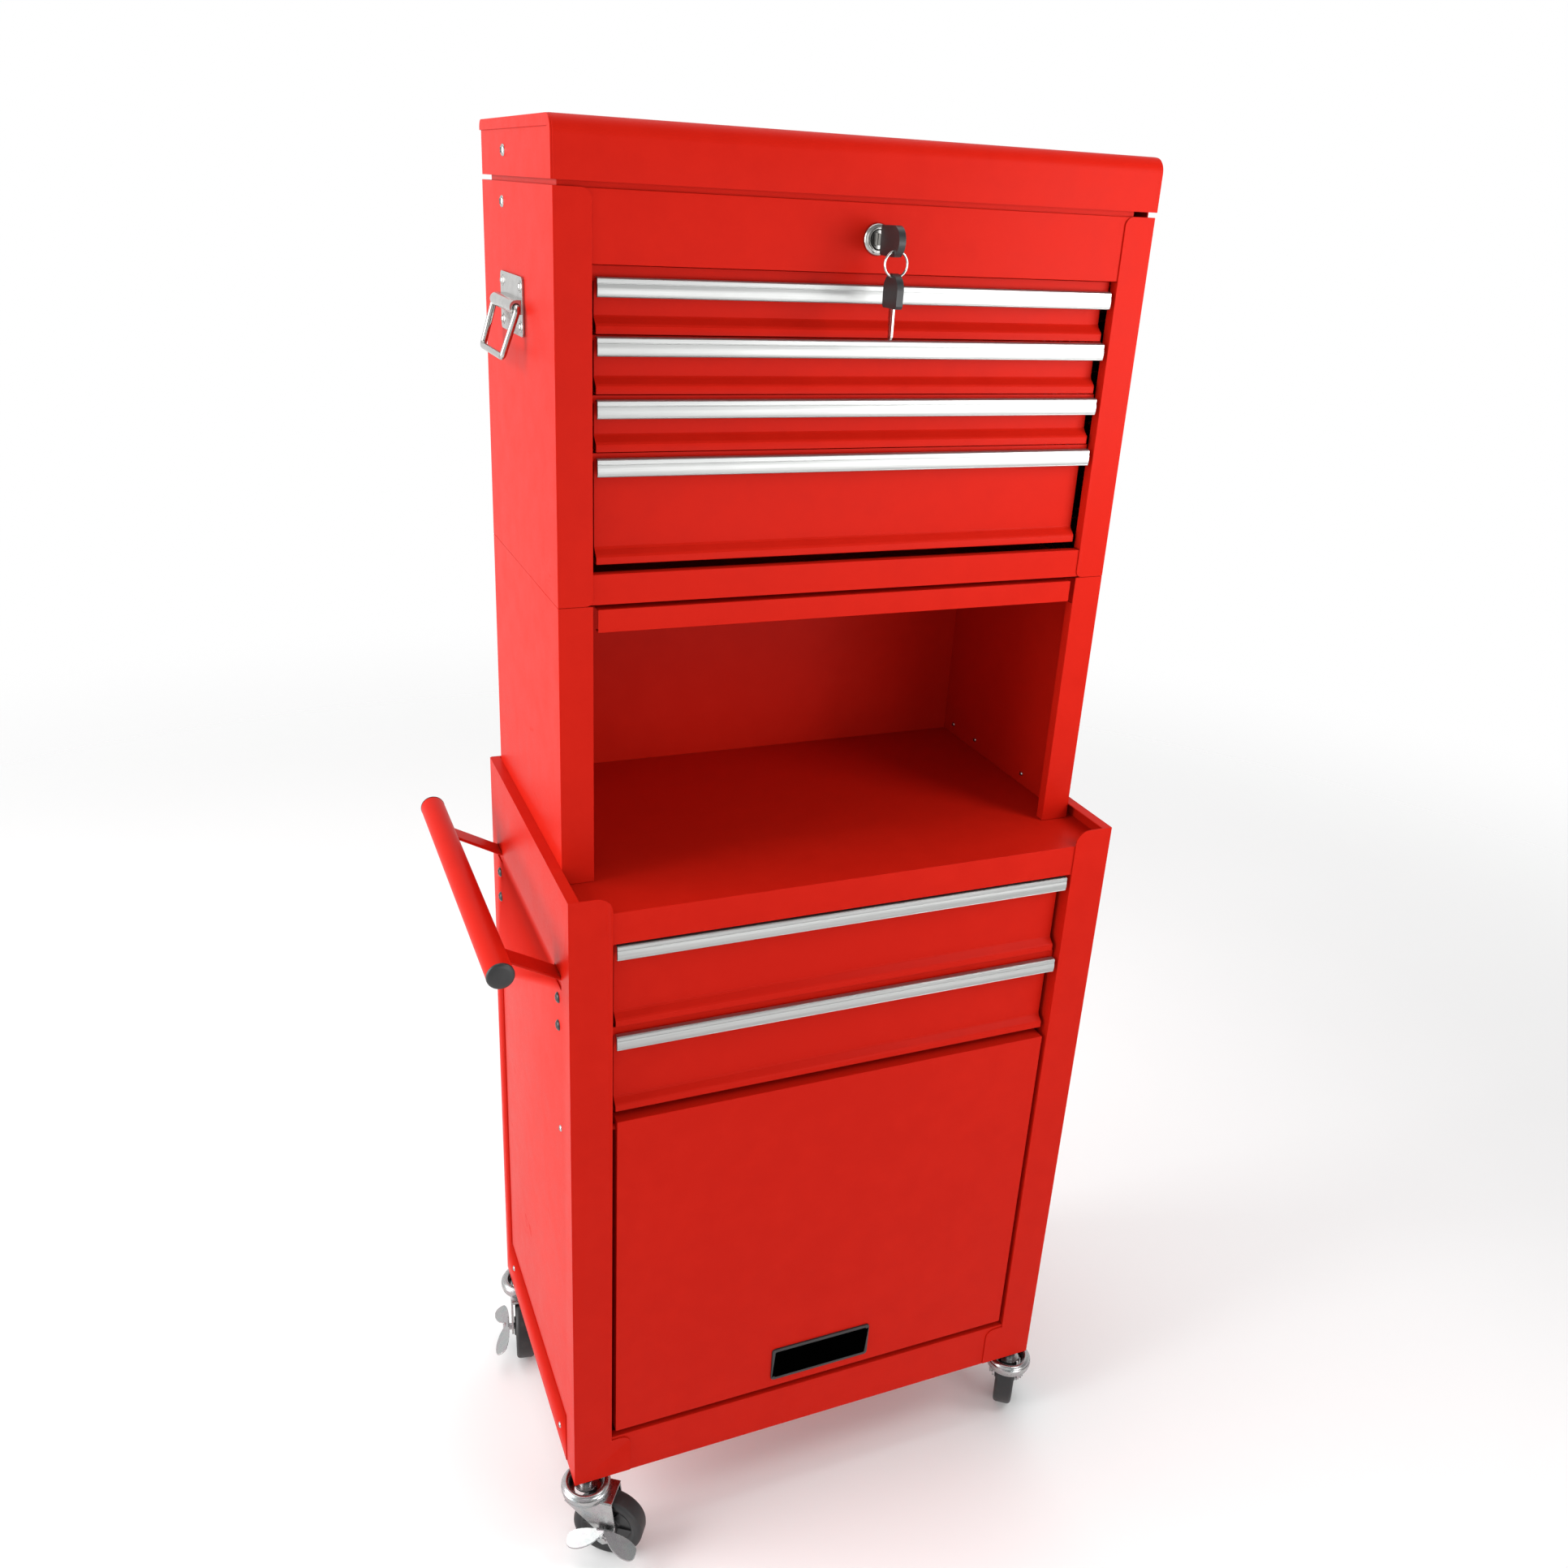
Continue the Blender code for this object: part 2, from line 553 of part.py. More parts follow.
def chest_inside():
    """The lock rail above the drawers, the chest's floor and the shallow till."""
    inside = CHEST_W / 2 - FOLD
    behind = CHEST_Y + FOLD
    rear = CHEST_BACK - FOLD
    rail_low, rail_high = up(1175 * MM), up(CHEST_TOP) - GAP
    rail = [(behind + 12 * MM, rail_low), (behind, rail_low), (behind, rail_high), (behind + 12 * MM, rail_high)]
    made = part("chest_lock_rail", "paint", prism_mesh(folded(rail), "x", -inside, inside))
    middle = up(LOCK_Z)
    cut(made, rod_mesh((0, CHEST_Y - 5 * MM, middle), (0, CHEST_Y + 5 * MM, middle), 10 * MM, 24), "lock_hole")
    floor = up(RISER_TOP) + 0.6 * MM
    pan = [(rear, floor + TRAY_EDGE), (rear, floor), (behind, floor), (behind, up(941 * MM)),
           (behind + 8 * MM, up(941 * MM))]
    part("chest_bottom_pan", "paint", prism_mesh(folded(pan), "x", -inside, inside))
    till_low, till_high, till_front = up(1170 * MM), up(1182 * MM), behind + 14 * MM
    till = [(rear, till_high), (rear, till_low), (till_front, till_low), (till_front, till_high)]
    part("chest_till", "paint", prism_mesh(folded(till), "x", -inside, inside))


def lid():
    """A folded lid: a box with a rounded top front edge and an open underside."""
    half = CHEST_W / 2 + 0.4 * MM
    bm = box_mesh((-half, CHEST_Y - 0.5 * MM, up(LID_BOTTOM)), (half, CHEST_BACK, up(LID_TOP)))
    open_side(bm, 2, -1)
    top = up(LID_TOP)
    for front, radius in ((True, LID_ROUND), (False, 6 * MM)):
        edges = [e for e in bm.edges
                 if all(abs(v.co.z - top) < 0.1 * MM and (v.co.y < 0) == front for v in e.verts)]
        bmesh.ops.bevel(bm, geom=edges, offset=radius, offset_type="OFFSET", segments=5, profile=0.5,
                        affect="EDGES", material=-1)
    made = part("lid_shell", "paint", bm)
    hollow(made, SHEET)
    y, z = HINGE[0], up(HINGE[1])
    for low, high in LID_KNUCKLES:
        knuckle(made, low, high, 1)
    set_origin(made, (0, y, z))
    part("lid_hinge_pin", "zinc", rod_mesh((-201 * MM, y, z), (201 * MM, y, z), HINGE_PIN_R, 12))


def side_handle(side):
    """A riveted plate with a tunnel, and the wire bail that swings in it."""
    name = "left" if side < 0 else "right"
    wall = side * (CHEST_W / 2 + GAP)
    axis_x = side * (CHEST_W / 2 + BAIL_STANDOFF)
    z = up(BAIL_Z)
    half_w, half_h = PLATE_W / 2, PLATE_H / 2
    corner = 4 * MM
    outline = []
    for cx, cz, start in ((1, 1, 0), (-1, 1, 90), (-1, -1, 180), (1, -1, 270)):
        centre = (BAIL_Y + cx * (half_w - corner), z + cz * (half_h - corner))
        outline += arc(centre, corner, start, start + 90, 3)
    x = sorted((wall, wall + side * PLATE_T))
    plate = part(f"chest_handle_plate_{name}", "chrome", prism_mesh(outline, "x", *x))
    tunnel = half_w - 2 * MM
    reach = sorted((wall + side * 0.4 * MM, axis_x))
    join(plate, box_mesh((reach[0], BAIL_Y - tunnel, z - 5.6 * MM), (reach[1], BAIL_Y + tunnel, z + 5.6 * MM)),
         "saddle")
    join(plate, rod_mesh((axis_x, BAIL_Y - tunnel, z), (axis_x, BAIL_Y + tunnel, z), 5.5 * MM, 20), "tunnel")
    cut(plate, rod_mesh((axis_x, BAIL_Y - tunnel - 3 * MM, z), (axis_x, BAIL_Y + tunnel + 3 * MM, z),
                        BAIL_R + 0.5 * MM, 16), "bore")
    bail(name, side, axis_x, z, tunnel - 10 * MM)


def bail(name, side, axis_x, z, end):
    """The wire that swings in the tunnel, hanging a little off the wall."""
    reach_out = side * math.sin(BAIL_REST)
    drop = -math.cos(BAIL_REST)
    top_half, low_half, fall = 46 * MM, 41.5 * MM, 40 * MM
    path = [(-end, 0)] + arc((-top_half + 5 * MM, -5 * MM), 5 * MM, 90, 184, 3)
    path += arc((-low_half + 6 * MM, -fall + 6 * MM), 6 * MM, 184, 270, 3)
    path = path + [(-a, b) for a, b in path[::-1]]
    wire = bpy.data.curves.new(f"bail_{name}_wire", "CURVE")
    wire.dimensions = "3D"
    wire.bevel_depth = BAIL_R
    wire.bevel_resolution = 2
    wire.use_fill_caps = True
    spline = wire.splines.new("POLY")
    spline.points.add(len(path) - 1)
    for point, (along, height) in zip(spline.points, path):
        point.co = (-height * reach_out, along, -height * drop, 1)
    guide = bpy.data.objects.new(f"bail_{name}_guide", wire)
    CUTTERS.objects.link(guide)
    bpy.context.view_layer.update()
    mesh = bpy.data.meshes.new_from_object(guide.evaluated_get(bpy.context.evaluated_depsgraph_get()))
    bpy.data.objects.remove(guide, do_unlink=True)
    bm = bmesh.new()
    bm.from_mesh(mesh)
    bmesh.ops.remove_doubles(bm, verts=bm.verts[:], dist=0.01 * MM)
    made = part(f"bail_{name}", "chrome", bm, round_shape=True)
    made.location = (axis_x, BAIL_Y, z)


def lock():
    """The lock's housing and its turning cylinder with a cam."""
    z = up(LOCK_Z)
    face = CHEST_Y + FOLD - GAP
    housing = turned_mesh([(7.3 * MM, 0), (12.2 * MM, 0), (13.5 * MM, -1.2 * MM), (13.5 * MM, -3 * MM),
                           (9.6 * MM, -3 * MM), (9.6 * MM, -24 * MM), (7.3 * MM, -24 * MM)], 24)
    housing.transform(Matrix.Translation((0, face - 3 * MM, z)) @ Matrix.Rotation(math.radians(90), 4, "X"))
    part("lock_housing", "chrome", housing, round_shape=True)
    front = face - 3.4 * MM
    core = part("lock_cylinder", "chrome", rod_mesh((0, front, z), (0, face + 26 * MM, z), CYLINDER_R, 24),
                round_shape=True)
    cam = [(-6 * MM, z - 6 * MM), (6 * MM, z - 6 * MM), (6 * MM, z + 20 * MM), (-6 * MM, z + 20 * MM)]
    join(core, prism_mesh(cam, "y", face + 24.5 * MM, face + 26.5 * MM), "cam")
    keyway = box_mesh((-1.3 * MM, front - 2 * MM, z - 4.3 * MM), (1.3 * MM, front + 14 * MM, z + 4.3 * MM))
    cut(core, keyway, "keyway")
    set_origin(core, (0, front, z))
    keys(front, z)


def keys(front, z):
    """The key in the lock, the ring through its head and the spare that hangs from it."""
    head_y = (-146.4 * MM, -114 * MM)
    head = key_head((head_y[0] + head_y[1]) / 2, z + 0.2 * MM, head_y[1] - head_y[0], 23 * MM)
    key = part("lock_key", "plastic", prism_mesh(head, "x", -KEY_T / 2, KEY_T / 2))
    blade = box_mesh((-BLADE_T / 2, head_y[1] - 2 * MM, z - 3.6 * MM), (BLADE_T / 2, front + 11 * MM, z + 3.6 * MM))
    join(key, blade, "blade")
    hole_z = z - 6.4 * MM
    cut(key, rod_mesh((-5 * MM, KEY_HOLE_Y, hole_z), (5 * MM, KEY_HOLE_Y, hole_z), 2.4 * MM, 14), "hole")
    set_origin(key, (0, front, z))
    ring_z = hole_z - RING_R
    quarter = math.radians(90)
    ring = bmesh.new()
    circle = bmesh.ops.create_circle(ring, segments=6, radius=RING_WIRE)["verts"]
    bmesh.ops.rotate(ring, verts=circle, cent=(0, 0, 0), matrix=Matrix.Rotation(quarter, 3, "X"))
    bmesh.ops.translate(ring, verts=circle, vec=(RING_R, 0, 0))
    bmesh.ops.spin(ring, geom=ring.verts[:] + ring.edges[:], axis=(0, 0, 1), cent=(0, 0, 0), steps=24,
                   angle=2 * math.pi, use_merge=True)
    bmesh.ops.remove_doubles(ring, verts=ring.verts[:], dist=0.001 * MM)
    ring.transform(Matrix.Translation((0, KEY_HOLE_Y, ring_z)) @ Matrix.Rotation(quarter, 4, "X"))
    loop = part("key_ring", "chrome", ring, round_shape=True)
    set_origin(loop, (0, KEY_HOLE_Y, hole_z))
    spare_hole = ring_z - RING_R
    top = spare_hole + 3.1 * MM
    spare_y = KEY_HOLE_Y + 1 * MM
    outline = key_head(spare_y, top - 13.3 * MM, 25 * MM, 26.6 * MM)
    spare = part("spare_key", "plastic", prism_mesh(outline, "x", -KEY_T / 2, KEY_T / 2))
    tip = up(SPARE_TIP)
    blade = [(spare_y - 3.6 * MM, top - 24 * MM), (spare_y - 3.6 * MM, tip + 3 * MM), (spare_y, tip),
             (spare_y + 3.6 * MM, tip + 3 * MM), (spare_y + 3.6 * MM, top - 24 * MM)]
    join(spare, prism_mesh(blade, "x", -BLADE_T / 2, BLADE_T / 2), "blade")
    cut(spare, rod_mesh((-5 * MM, KEY_HOLE_Y, spare_hole), (5 * MM, KEY_HOLE_Y, spare_hole), 1.8 * MM, 14), "hole")
    set_origin(spare, (0, KEY_HOLE_Y, spare_hole))


def key_head(y, z, width, height):
    """A key head's outline: a rectangle with round corners."""
    radius = 5 * MM
    outline = []
    for cy, cz, start in ((1, 1, 0), (-1, 1, 90), (-1, -1, 180), (1, -1, 270)):
        centre = (y + cy * (width / 2 - radius), z + cz * (height / 2 - radius))
        outline += arc(centre, radius, start, start + 90, 4)
    return outline


# ---------------------------------------------------------------- casters

def caster(name, x, y, heading, brake):
    """A swivel caster; its empty stands on the stem's axis, turned to its trail."""
    stand = empty(f"{name}_swivel", (x, y, 0), ASSEMBLY)
    stem = part(f"{name}_stem", "zinc", rod_mesh((0, 0, 80 * MM), (0, 0, up(11 * MM)), STEM_R, 16), stand)
    join(stem, rod_mesh((0, 0, 94 * MM), (0, 0, 103 * MM), 9.5 * MM, 6), "nut")
    join(stem, rod_mesh((0, 0, 84.5 * MM), (0, 0, 86.5 * MM), 12 * MM, 16), "race")
    join(stem, rod_mesh((0, 0, 86 * MM), (0, 0, 94.5 * MM), 7.5 * MM, 16), "collar")
    stem.data.shade_flat()
    arm = empty(f"{name}_arm", (0, 0, 0), stand)
    arm.rotation_euler = (0, 0, math.radians(heading))
    head = [(6 * MM, 78 * MM), (22 * MM, 78 * MM), (HEAD_R, 80.5 * MM), (HEAD_R, 86 * MM), (23 * MM, 89.3 * MM),
            (20.5 * MM, 90 * MM), (17.5 * MM, 88.5 * MM), (16 * MM, 84 * MM), (6 * MM, 84 * MM)]
    fork = part(f"{name}_fork", "zinc", turned_mesh(head, 22), arm, round_shape=True)
    join(fork, box_mesh((5 * MM, -FORK_OUTER, 77.6 * MM), (33 * MM, FORK_OUTER, 80.4 * MM)), "bridge")
    leg = [(-17 * MM, 80 * MM), (-18.5 * MM, 71 * MM), (14 * MM, 40 * MM)]
    leg += arc((TRAIL, WHEEL_R), 9.5 * MM, 190, 350, 6)
    leg += [(36.5 * MM, 46 * MM), (32.5 * MM, 80 * MM)]
    for side in (-1, 1):
        join(fork, prism_mesh(leg, "y", *sorted((side * FORK_INNER, side * FORK_OUTER))), "leg")
    bolt_end = 25.8 * MM if brake else 21 * MM
    nut_face = 20.2 * MM if brake else 15.1 * MM
    for label, near, far, radius, sides in (("axle", 19.5 * MM, -bolt_end, AXLE_R, 16),
                                            ("bolt_head", 18.9 * MM, 15.1 * MM, AXLE_NUT_R, 6),
                                            ("nut", -nut_face, -nut_face - AXLE_NUT_H, AXLE_NUT_R, 6)):
        join(fork, rod_mesh((TRAIL, near, WHEEL_R), (TRAIL, far, WHEEL_R), radius, sides), label)
    half_section = [(4.1, 12.2), (11, 12.2), (12, 5.5), (29.5, 5.5), (31.5, 10.3), (35.5, 10.5), (37.5, 8.3)]
    section = [(r * MM, h * MM) for r, h in half_section]
    section = section + [(r, -h) for r, h in section[::-1]]
    tyre = turned_mesh(section, 28)
    tyre.transform(Matrix.Rotation(math.radians(90), 4, "X"))
    wheel = part(f"{name}_wheel", "wheel", tyre, arm, round_shape=True)
    wheel.location = (TRAIL, 0, WHEEL_R)
    if brake:
        brake_pedal(name, arm)


def brake_pedal(name, arm):
    """A two-winged pedal that rocks on the axle outside the fork."""
    wing = [(-34, 30), (-13, 19.6), (-10, 18), (10, 18), (13, 19.6), (34, 30)]
    plan = folded([(TRAIL + a * MM, -b * MM) for a, b in wing], 1.8 * MM)
    pedal = part(f"{name}_pedal", "zinc", prism_mesh(plan, "z", WHEEL_R - 16 * MM, WHEEL_R + 16 * MM), arm)
    lobes = [(-36, -14), (-37, -6), (-30, 4), (-12, 9), (12, 9), (30, 4), (37, -6), (36, -14), (28, -14),
             (12, -7), (7, -7), (-7, -7), (-12, -7), (-28, -14)]
    outline = [(TRAIL + a * MM, WHEEL_R + b * MM) for a, b in lobes]
    blend(pedal, "INTERSECT", prism_mesh(outline, "y", -40 * MM, -10 * MM), "lobes")
    cut(pedal, rod_mesh((TRAIL, -30 * MM, WHEEL_R), (TRAIL, -10 * MM, WHEEL_R), AXLE_R + GAP, 16), "hole")
    set_origin(pedal, (TRAIL, 0, WHEEL_R))


# ---------------------------------------------------------------- assembly

clear_scene()
PARTS = collection("rolling_tool_chest")
CUTTERS = collection("cutters")
ASSEMBLY = None
ASSEMBLY = empty("tool_chest", (CENTRE_X, CENTRE_Y, 0), None)

base_shell()
for hand, turn in (("left", -1), ("right", 1)):
    slide_rack(f"base_slide_rack_{hand}", turn, BASE_W / 2 - 4.8 * MM, BASE_DRAWERS,
               (FRONT_Y + RACK_START, BACK_Y - 8 * MM), (456 * MM, 645 * MM))
    slide_rack(f"chest_slide_rack_{hand}", turn, CHEST_W / 2 - FOLD, CHEST_DRAWERS,
               (CHEST_Y + RACK_START, CHEST_BACK - 3 * MM), (920 * MM, 1167 * MM))
for index, (high_edge, low_edge) in enumerate(CHEST_DRAWERS, 1):
    drawer("chest", index, CHEST_Y, CHEST_DRAWER_D, high_edge * MM, low_edge * MM)
for index, (high_edge, low_edge) in enumerate(BASE_DRAWERS, 1):
    drawer("base", index, FRONT_Y, BASE_DRAWER_D, high_edge * MM, low_edge * MM)
door()
push_handle()
riser()
chest_shell()
chest_inside()
lid()
side_handle(-1)
side_handle(1)
lock()
caster("caster_front_left", -CASTER_X, -CASTER_Y, -34, True)
caster("caster_front_right", CASTER_X, -CASTER_Y, 54, False)
caster("caster_rear_left", -CASTER_X, CASTER_Y, -100, True)
caster("caster_rear_right", CASTER_X, CASTER_Y, 160, False)
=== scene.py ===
"""Looks of the rolling tool chest: painted sheet steel with rounded folds, grooved drawer
pulls, plated hardware, and the screws, rivets and seams that the solid model leaves out."""
import math

import bmesh
import bpy
from mathutils import Matrix, Vector


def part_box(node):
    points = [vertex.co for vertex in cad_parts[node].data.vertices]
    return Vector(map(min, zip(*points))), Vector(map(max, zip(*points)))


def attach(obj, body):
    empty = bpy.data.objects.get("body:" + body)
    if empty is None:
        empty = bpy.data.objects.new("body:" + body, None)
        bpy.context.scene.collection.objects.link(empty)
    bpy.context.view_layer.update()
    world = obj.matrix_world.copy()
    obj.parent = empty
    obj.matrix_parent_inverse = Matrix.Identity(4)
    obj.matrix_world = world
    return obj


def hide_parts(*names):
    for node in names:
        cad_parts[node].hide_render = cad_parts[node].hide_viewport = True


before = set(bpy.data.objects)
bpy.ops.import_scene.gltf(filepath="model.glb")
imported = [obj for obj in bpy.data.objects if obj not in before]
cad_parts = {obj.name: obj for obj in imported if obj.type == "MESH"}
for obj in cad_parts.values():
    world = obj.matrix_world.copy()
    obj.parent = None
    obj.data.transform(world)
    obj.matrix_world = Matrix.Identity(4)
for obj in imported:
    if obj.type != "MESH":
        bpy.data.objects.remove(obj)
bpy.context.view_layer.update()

MM = 0.001
LEFT_WALL, RIGHT_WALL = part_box("base_side_left"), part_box("base_side_right")
MIDDLE_X = (LEFT_WALL[0][0] + RIGHT_WALL[1][0]) / 2
FRONT_Y = LEFT_WALL[0][1]
UNDERSIDE = LEFT_WALL[0][2]

# Distances in mm from the cabinet's middle, its front and its underside
CABINET_HALF, CABINET_BACK = 270.0, 330.0
CHEST_HALF, CHEST_FRONT, CHEST_BACK = 260.0, 62.0, 322.0
PULL_HALF, UPSTAND_HALF = 226.9, 229.0
LID_LOW, LID_HIGH, HINGE_Z = 1231.0, 1274.0, 1229.0

SIDES = ((-1, "left"), (1, "right"))


def at(x, y, z):
    """A point given in mm from the cabinet's middle, front and underside."""
    return Vector((MIDDLE_X + x * MM, FRONT_Y + y * MM, UNDERSIDE + z * MM))


# ---------------------------------------------------------------- finishes

class Value:
    """An output in a material's nodes; arithmetic on it adds Math nodes."""

    def __init__(self, finish, socket):
        self.finish = finish
        self.socket = socket

    def maths(self, operation, first, second):
        node = self.finish.node("ShaderNodeMath", {"operation": operation}, {0: first, 1: second})
        return Value(self.finish, node.outputs[0])

    def __add__(self, other):
        return self.maths("ADD", self, other)

    def __radd__(self, other):
        return self.maths("ADD", other, self)

    def __sub__(self, other):
        return self.maths("SUBTRACT", self, other)

    def __mul__(self, other):
        return self.maths("MULTIPLY", self, other)

    def __rmul__(self, other):
        return self.maths("MULTIPLY", other, self)


class Finish:
    """A material around one Principled shader."""

    def __init__(self, name, metallic=0.0, **fixed):
        self.material = bpy.data.materials.new(name)
        self.material.use_nodes = True
        self.tree = self.material.node_tree
        self.shader = self.tree.nodes["Principled BSDF"]
        self.shader.inputs["Metallic"].default_value = metallic
        for key, value in fixed.items():
            self.shader.inputs[key.replace("_", " ")].default_value = value
        self.place = self.node("ShaderNodeTexCoord").outputs["Object"]

    def node(self, kind, settings=None, values=None):
        """Adds a node: its settings first, then what goes into its sockets."""
        made = self.tree.nodes.new(kind)
        for key, value in (settings or {}).items():
            if key == "stops":
                ramp = made.color_ramp
                while len(ramp.elements) < len(value):
                    ramp.elements.new(0.5)
                for element, (position, colour) in zip(ramp.elements, value):
                    element.position = position
                    element.color = (*colour, 1)
            else:
                setattr(made, key, value)
        for key, value in (values or {}).items():
            self.feed(made.inputs[key], value)
        return made

    def feed(self, socket, value):
        """Links an output to a socket, or sets the socket to a plain value."""
        if isinstance(value, Value):
            value = value.socket
        if isinstance(value, bpy.types.NodeSocket):
            self.tree.links.new(value, socket)
        else:
            socket.default_value = value

    def noise(self, scale, detail=2.0, roughness=0.5, stretch=(1, 1, 1)):
        """Noise in the object's own coordinates, in features per metre."""
        spread = self.node("ShaderNodeMapping", {}, {"Vector": self.place, "Scale": stretch})
        made = self.node("ShaderNodeTexNoise", {}, {"Vector": spread.outputs[0], "Scale": scale,
                                                    "Detail": detail, "Roughness": roughness})
        return Value(self, made.outputs["Fac"])

    def step(self, value, low, high, result_low=0.0, result_high=1.0):
        """Maps low..high to the two results, with a smooth step and no overshoot."""
        made = self.node("ShaderNodeMapRange", {"interpolation_type": "SMOOTHSTEP"},
                         {"Value": value, "From Min": low, "From Max": high, "To Min": result_low,
                          "To Max": result_high})
        return Value(self, made.outputs["Result"])

    def blend(self, factor, first, second):
        made = self.node("ShaderNodeMix", {"data_type": "RGBA"}, {0: factor, 6: first, 7: second})
        return Value(self, made.outputs[2])

    def ramp(self, value, stops):
        made = self.node("ShaderNodeValToRGB", {"stops": stops}, {"Fac": value})
        return Value(self, made.outputs["Color"])

    def dress(self, colour, roughness, height=None, strength=0.1, depth=0.1):
        """Feeds the shader. depth is the bump's real depth in mm."""
        self.feed(self.shader.inputs["Base Color"], colour)
        self.feed(self.shader.inputs["Roughness"], roughness)
        if height is not None:
            bump = self.node("ShaderNodeBump", {}, {"Height": height, "Strength": strength,
                                                    "Distance": depth * MM})
            self.feed(self.shader.inputs["Normal"], bump.outputs["Normal"])
        return self.material


def rgba(r, g, b):
    """A full colour from linear red, green and blue."""
    return (r, g, b, 1.0)


def powder_coat(name, light, dark):
    """Semi-gloss powder coat: a faint orange peel, slow drifts of tone and a few dull scuffs."""
    coat = Finish(name, Specular_IOR_Level=0.035)
    drift = coat.noise(2.2, 2, 0.5)
    mottle = coat.noise(38, 3, 0.6)
    peel = coat.noise(430, 2, 0.5)
    grain = coat.noise(2400, 1, 0.5)
    scuffs = coat.step(coat.noise(11, 4, 0.7, (1, 1, 3.0)), 0.66, 0.76)
    tone = coat.step(0.65 * drift + 0.35 * mottle, 0.35, 0.65)
    colour = coat.blend(tone, rgba(*dark), rgba(*light))
    colour = coat.blend(scuffs * 0.12, colour, rgba(light[0], light[1] * 1.6, light[2] * 1.6))
    rough = 0.36 + (mottle - 0.5) * 0.12 + (peel - 0.5) * 0.08 + scuffs * 0.10
    return coat.dress(colour, rough, 0.7 * peel + 0.3 * grain, 0.16, 0.12)


def drawn_aluminium(name):
    """Satin anodised extrusion with fine die lines along its length."""
    metal = Finish(name, metallic=1.0)
    lines = metal.noise(1.0, 3, 0.6, (2.5, 1600, 1600))
    broad = metal.noise(1.0, 2, 0.5, (4, 260, 260))
    haze = metal.noise(14, 3, 0.6)
    colour = metal.blend(metal.step(0.5 * lines + 0.5 * broad, 0.35, 0.65),
                         rgba(0.36, 0.365, 0.36), rgba(0.46, 0.465, 0.46))
    rough = 0.44 + (lines - 0.5) * 0.12 + (haze - 0.5) * 0.10
    return metal.dress(colour, rough, 0.6 * lines + 0.4 * broad, 0.10, 0.03)


def zinc_plate(name):
    """Bright zinc with a passivated film: faint yellow and violet tints and dull patches."""
    metal = Finish(name, metallic=1.0)
    film = metal.noise(55, 2, 0.5)
    patch = metal.noise(160, 3, 0.6)
    rub = metal.noise(60, 4, 0.7, (1, 1, 9))
    colour = metal.ramp(film, [(0.30, (0.36, 0.385, 0.395)), (0.45, (0.42, 0.425, 0.42)),
                               (0.56, (0.41, 0.385, 0.40)), (0.70, (0.45, 0.45, 0.44))])
    colour = metal.blend(metal.step(patch, 0.45, 0.75) * 0.3, colour, rgba(0.30, 0.305, 0.31))
    rough = 0.27 + (patch - 0.5) * 0.12 + (rub - 0.5) * 0.06
    return metal.dress(colour, rough, 0.5 * patch + 0.5 * rub, 0.05, 0.03)


def chrome_plate(name):
    """Thin commercial chrome, slightly hazy and wiped."""
    metal = Finish(name, metallic=1.0)
    haze = metal.noise(90, 3, 0.6)
    wipe = metal.noise(120, 3, 0.6, (1, 6, 1))
    colour = metal.blend(metal.step(haze, 0.4, 0.7), rgba(0.40, 0.395, 0.38), rgba(0.48, 0.475, 0.46))
    rough = 0.21 + (haze - 0.5) * 0.10 + (wipe - 0.5) * 0.06
    return metal.dress(colour, rough, wipe, 0.06, 0.03)


def moulded_plastic(name, tone, rough_base=0.42):
    """Black moulded plastic with a spark-eroded grain."""
    plastic = Finish(name, Specular_IOR_Level=0.5)
    grain = plastic.noise(1500, 2, 0.6)
    cloud = plastic.noise(40, 3, 0.6)
    colour = plastic.blend(plastic.step(cloud, 0.35, 0.7), rgba(tone * 0.75, tone * 0.76, tone * 0.8),
                           rgba(tone * 1.35, tone * 1.37, tone * 1.42))
    rough = rough_base + (grain - 0.5) * 0.20 + (cloud - 0.5) * 0.12
    return plastic.dress(colour, rough, grain, 0.25, 0.08)


def tread_rubber(name):
    """Hard wheel compound, scuffed and slightly dusty where it rolls."""
    rubber = Finish(name, Specular_IOR_Level=0.45)
    grain = rubber.noise(900, 3, 0.6)
    dust = rubber.step(rubber.noise(70, 4, 0.65), 0.48, 0.72)
    colour = rubber.blend(dust * 0.5, rgba(0.016, 0.016, 0.017), rgba(0.055, 0.052, 0.05))
    rough = 0.46 + dust * 0.22 + (grain - 0.5) * 0.14
    return rubber.dress(colour, rough, grain + 0.5 * dust, 0.3, 0.1)


RED = powder_coat("red_powder_coat", (0.51, 0.0120, 0.0050), (0.47, 0.0100, 0.0042))
# A darker copy of the same red paint for the till inside the chest: painted shade
RED_PAINTED_SHADE = powder_coat("red_powder_coat_painted_shade", (0.47, 0.0100, 0.0042), (0.42, 0.0090, 0.0040))
ALUMINIUM = drawn_aluminium("satin_aluminium")
ZINC = zinc_plate("bright_zinc")
CHROME = chrome_plate("chrome_plate")
BLACK = moulded_plastic("black_plastic", 0.014)
# Blackened steel for the push handle's screws, also used as painted shade in every screw's cross recess
BLACK_SCREW_AND_RECESS_SHADE = moulded_plastic("blackened_steel_and_recess_shade", 0.010, 0.30)
HUB = moulded_plastic("wheel_hub_plastic", 0.022, 0.38)
RUBBER = tread_rubber("wheel_rubber")


# ---------------------------------------------------------------- shapes

def cad_copy(node):
    """A merged copy of a solid's mesh, with its flat faces whole again."""
    bm = bmesh.new()
    bm.from_mesh(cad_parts[node].data)
    bmesh.ops.remove_doubles(bm, verts=bm.verts[:], dist=0.002 * MM)
    bmesh.ops.dissolve_limit(bm, angle_limit=math.radians(1), verts=bm.verts[:], edges=bm.edges[:])
    return bm


def bevel(bm, edges, width, segments):
    bmesh.ops.bevel(bm, geom=edges, offset=width * MM, offset_type="OFFSET", segments=segments,
                    profile=0.5, affect="EDGES", material=-1, clamp_overlap=True)


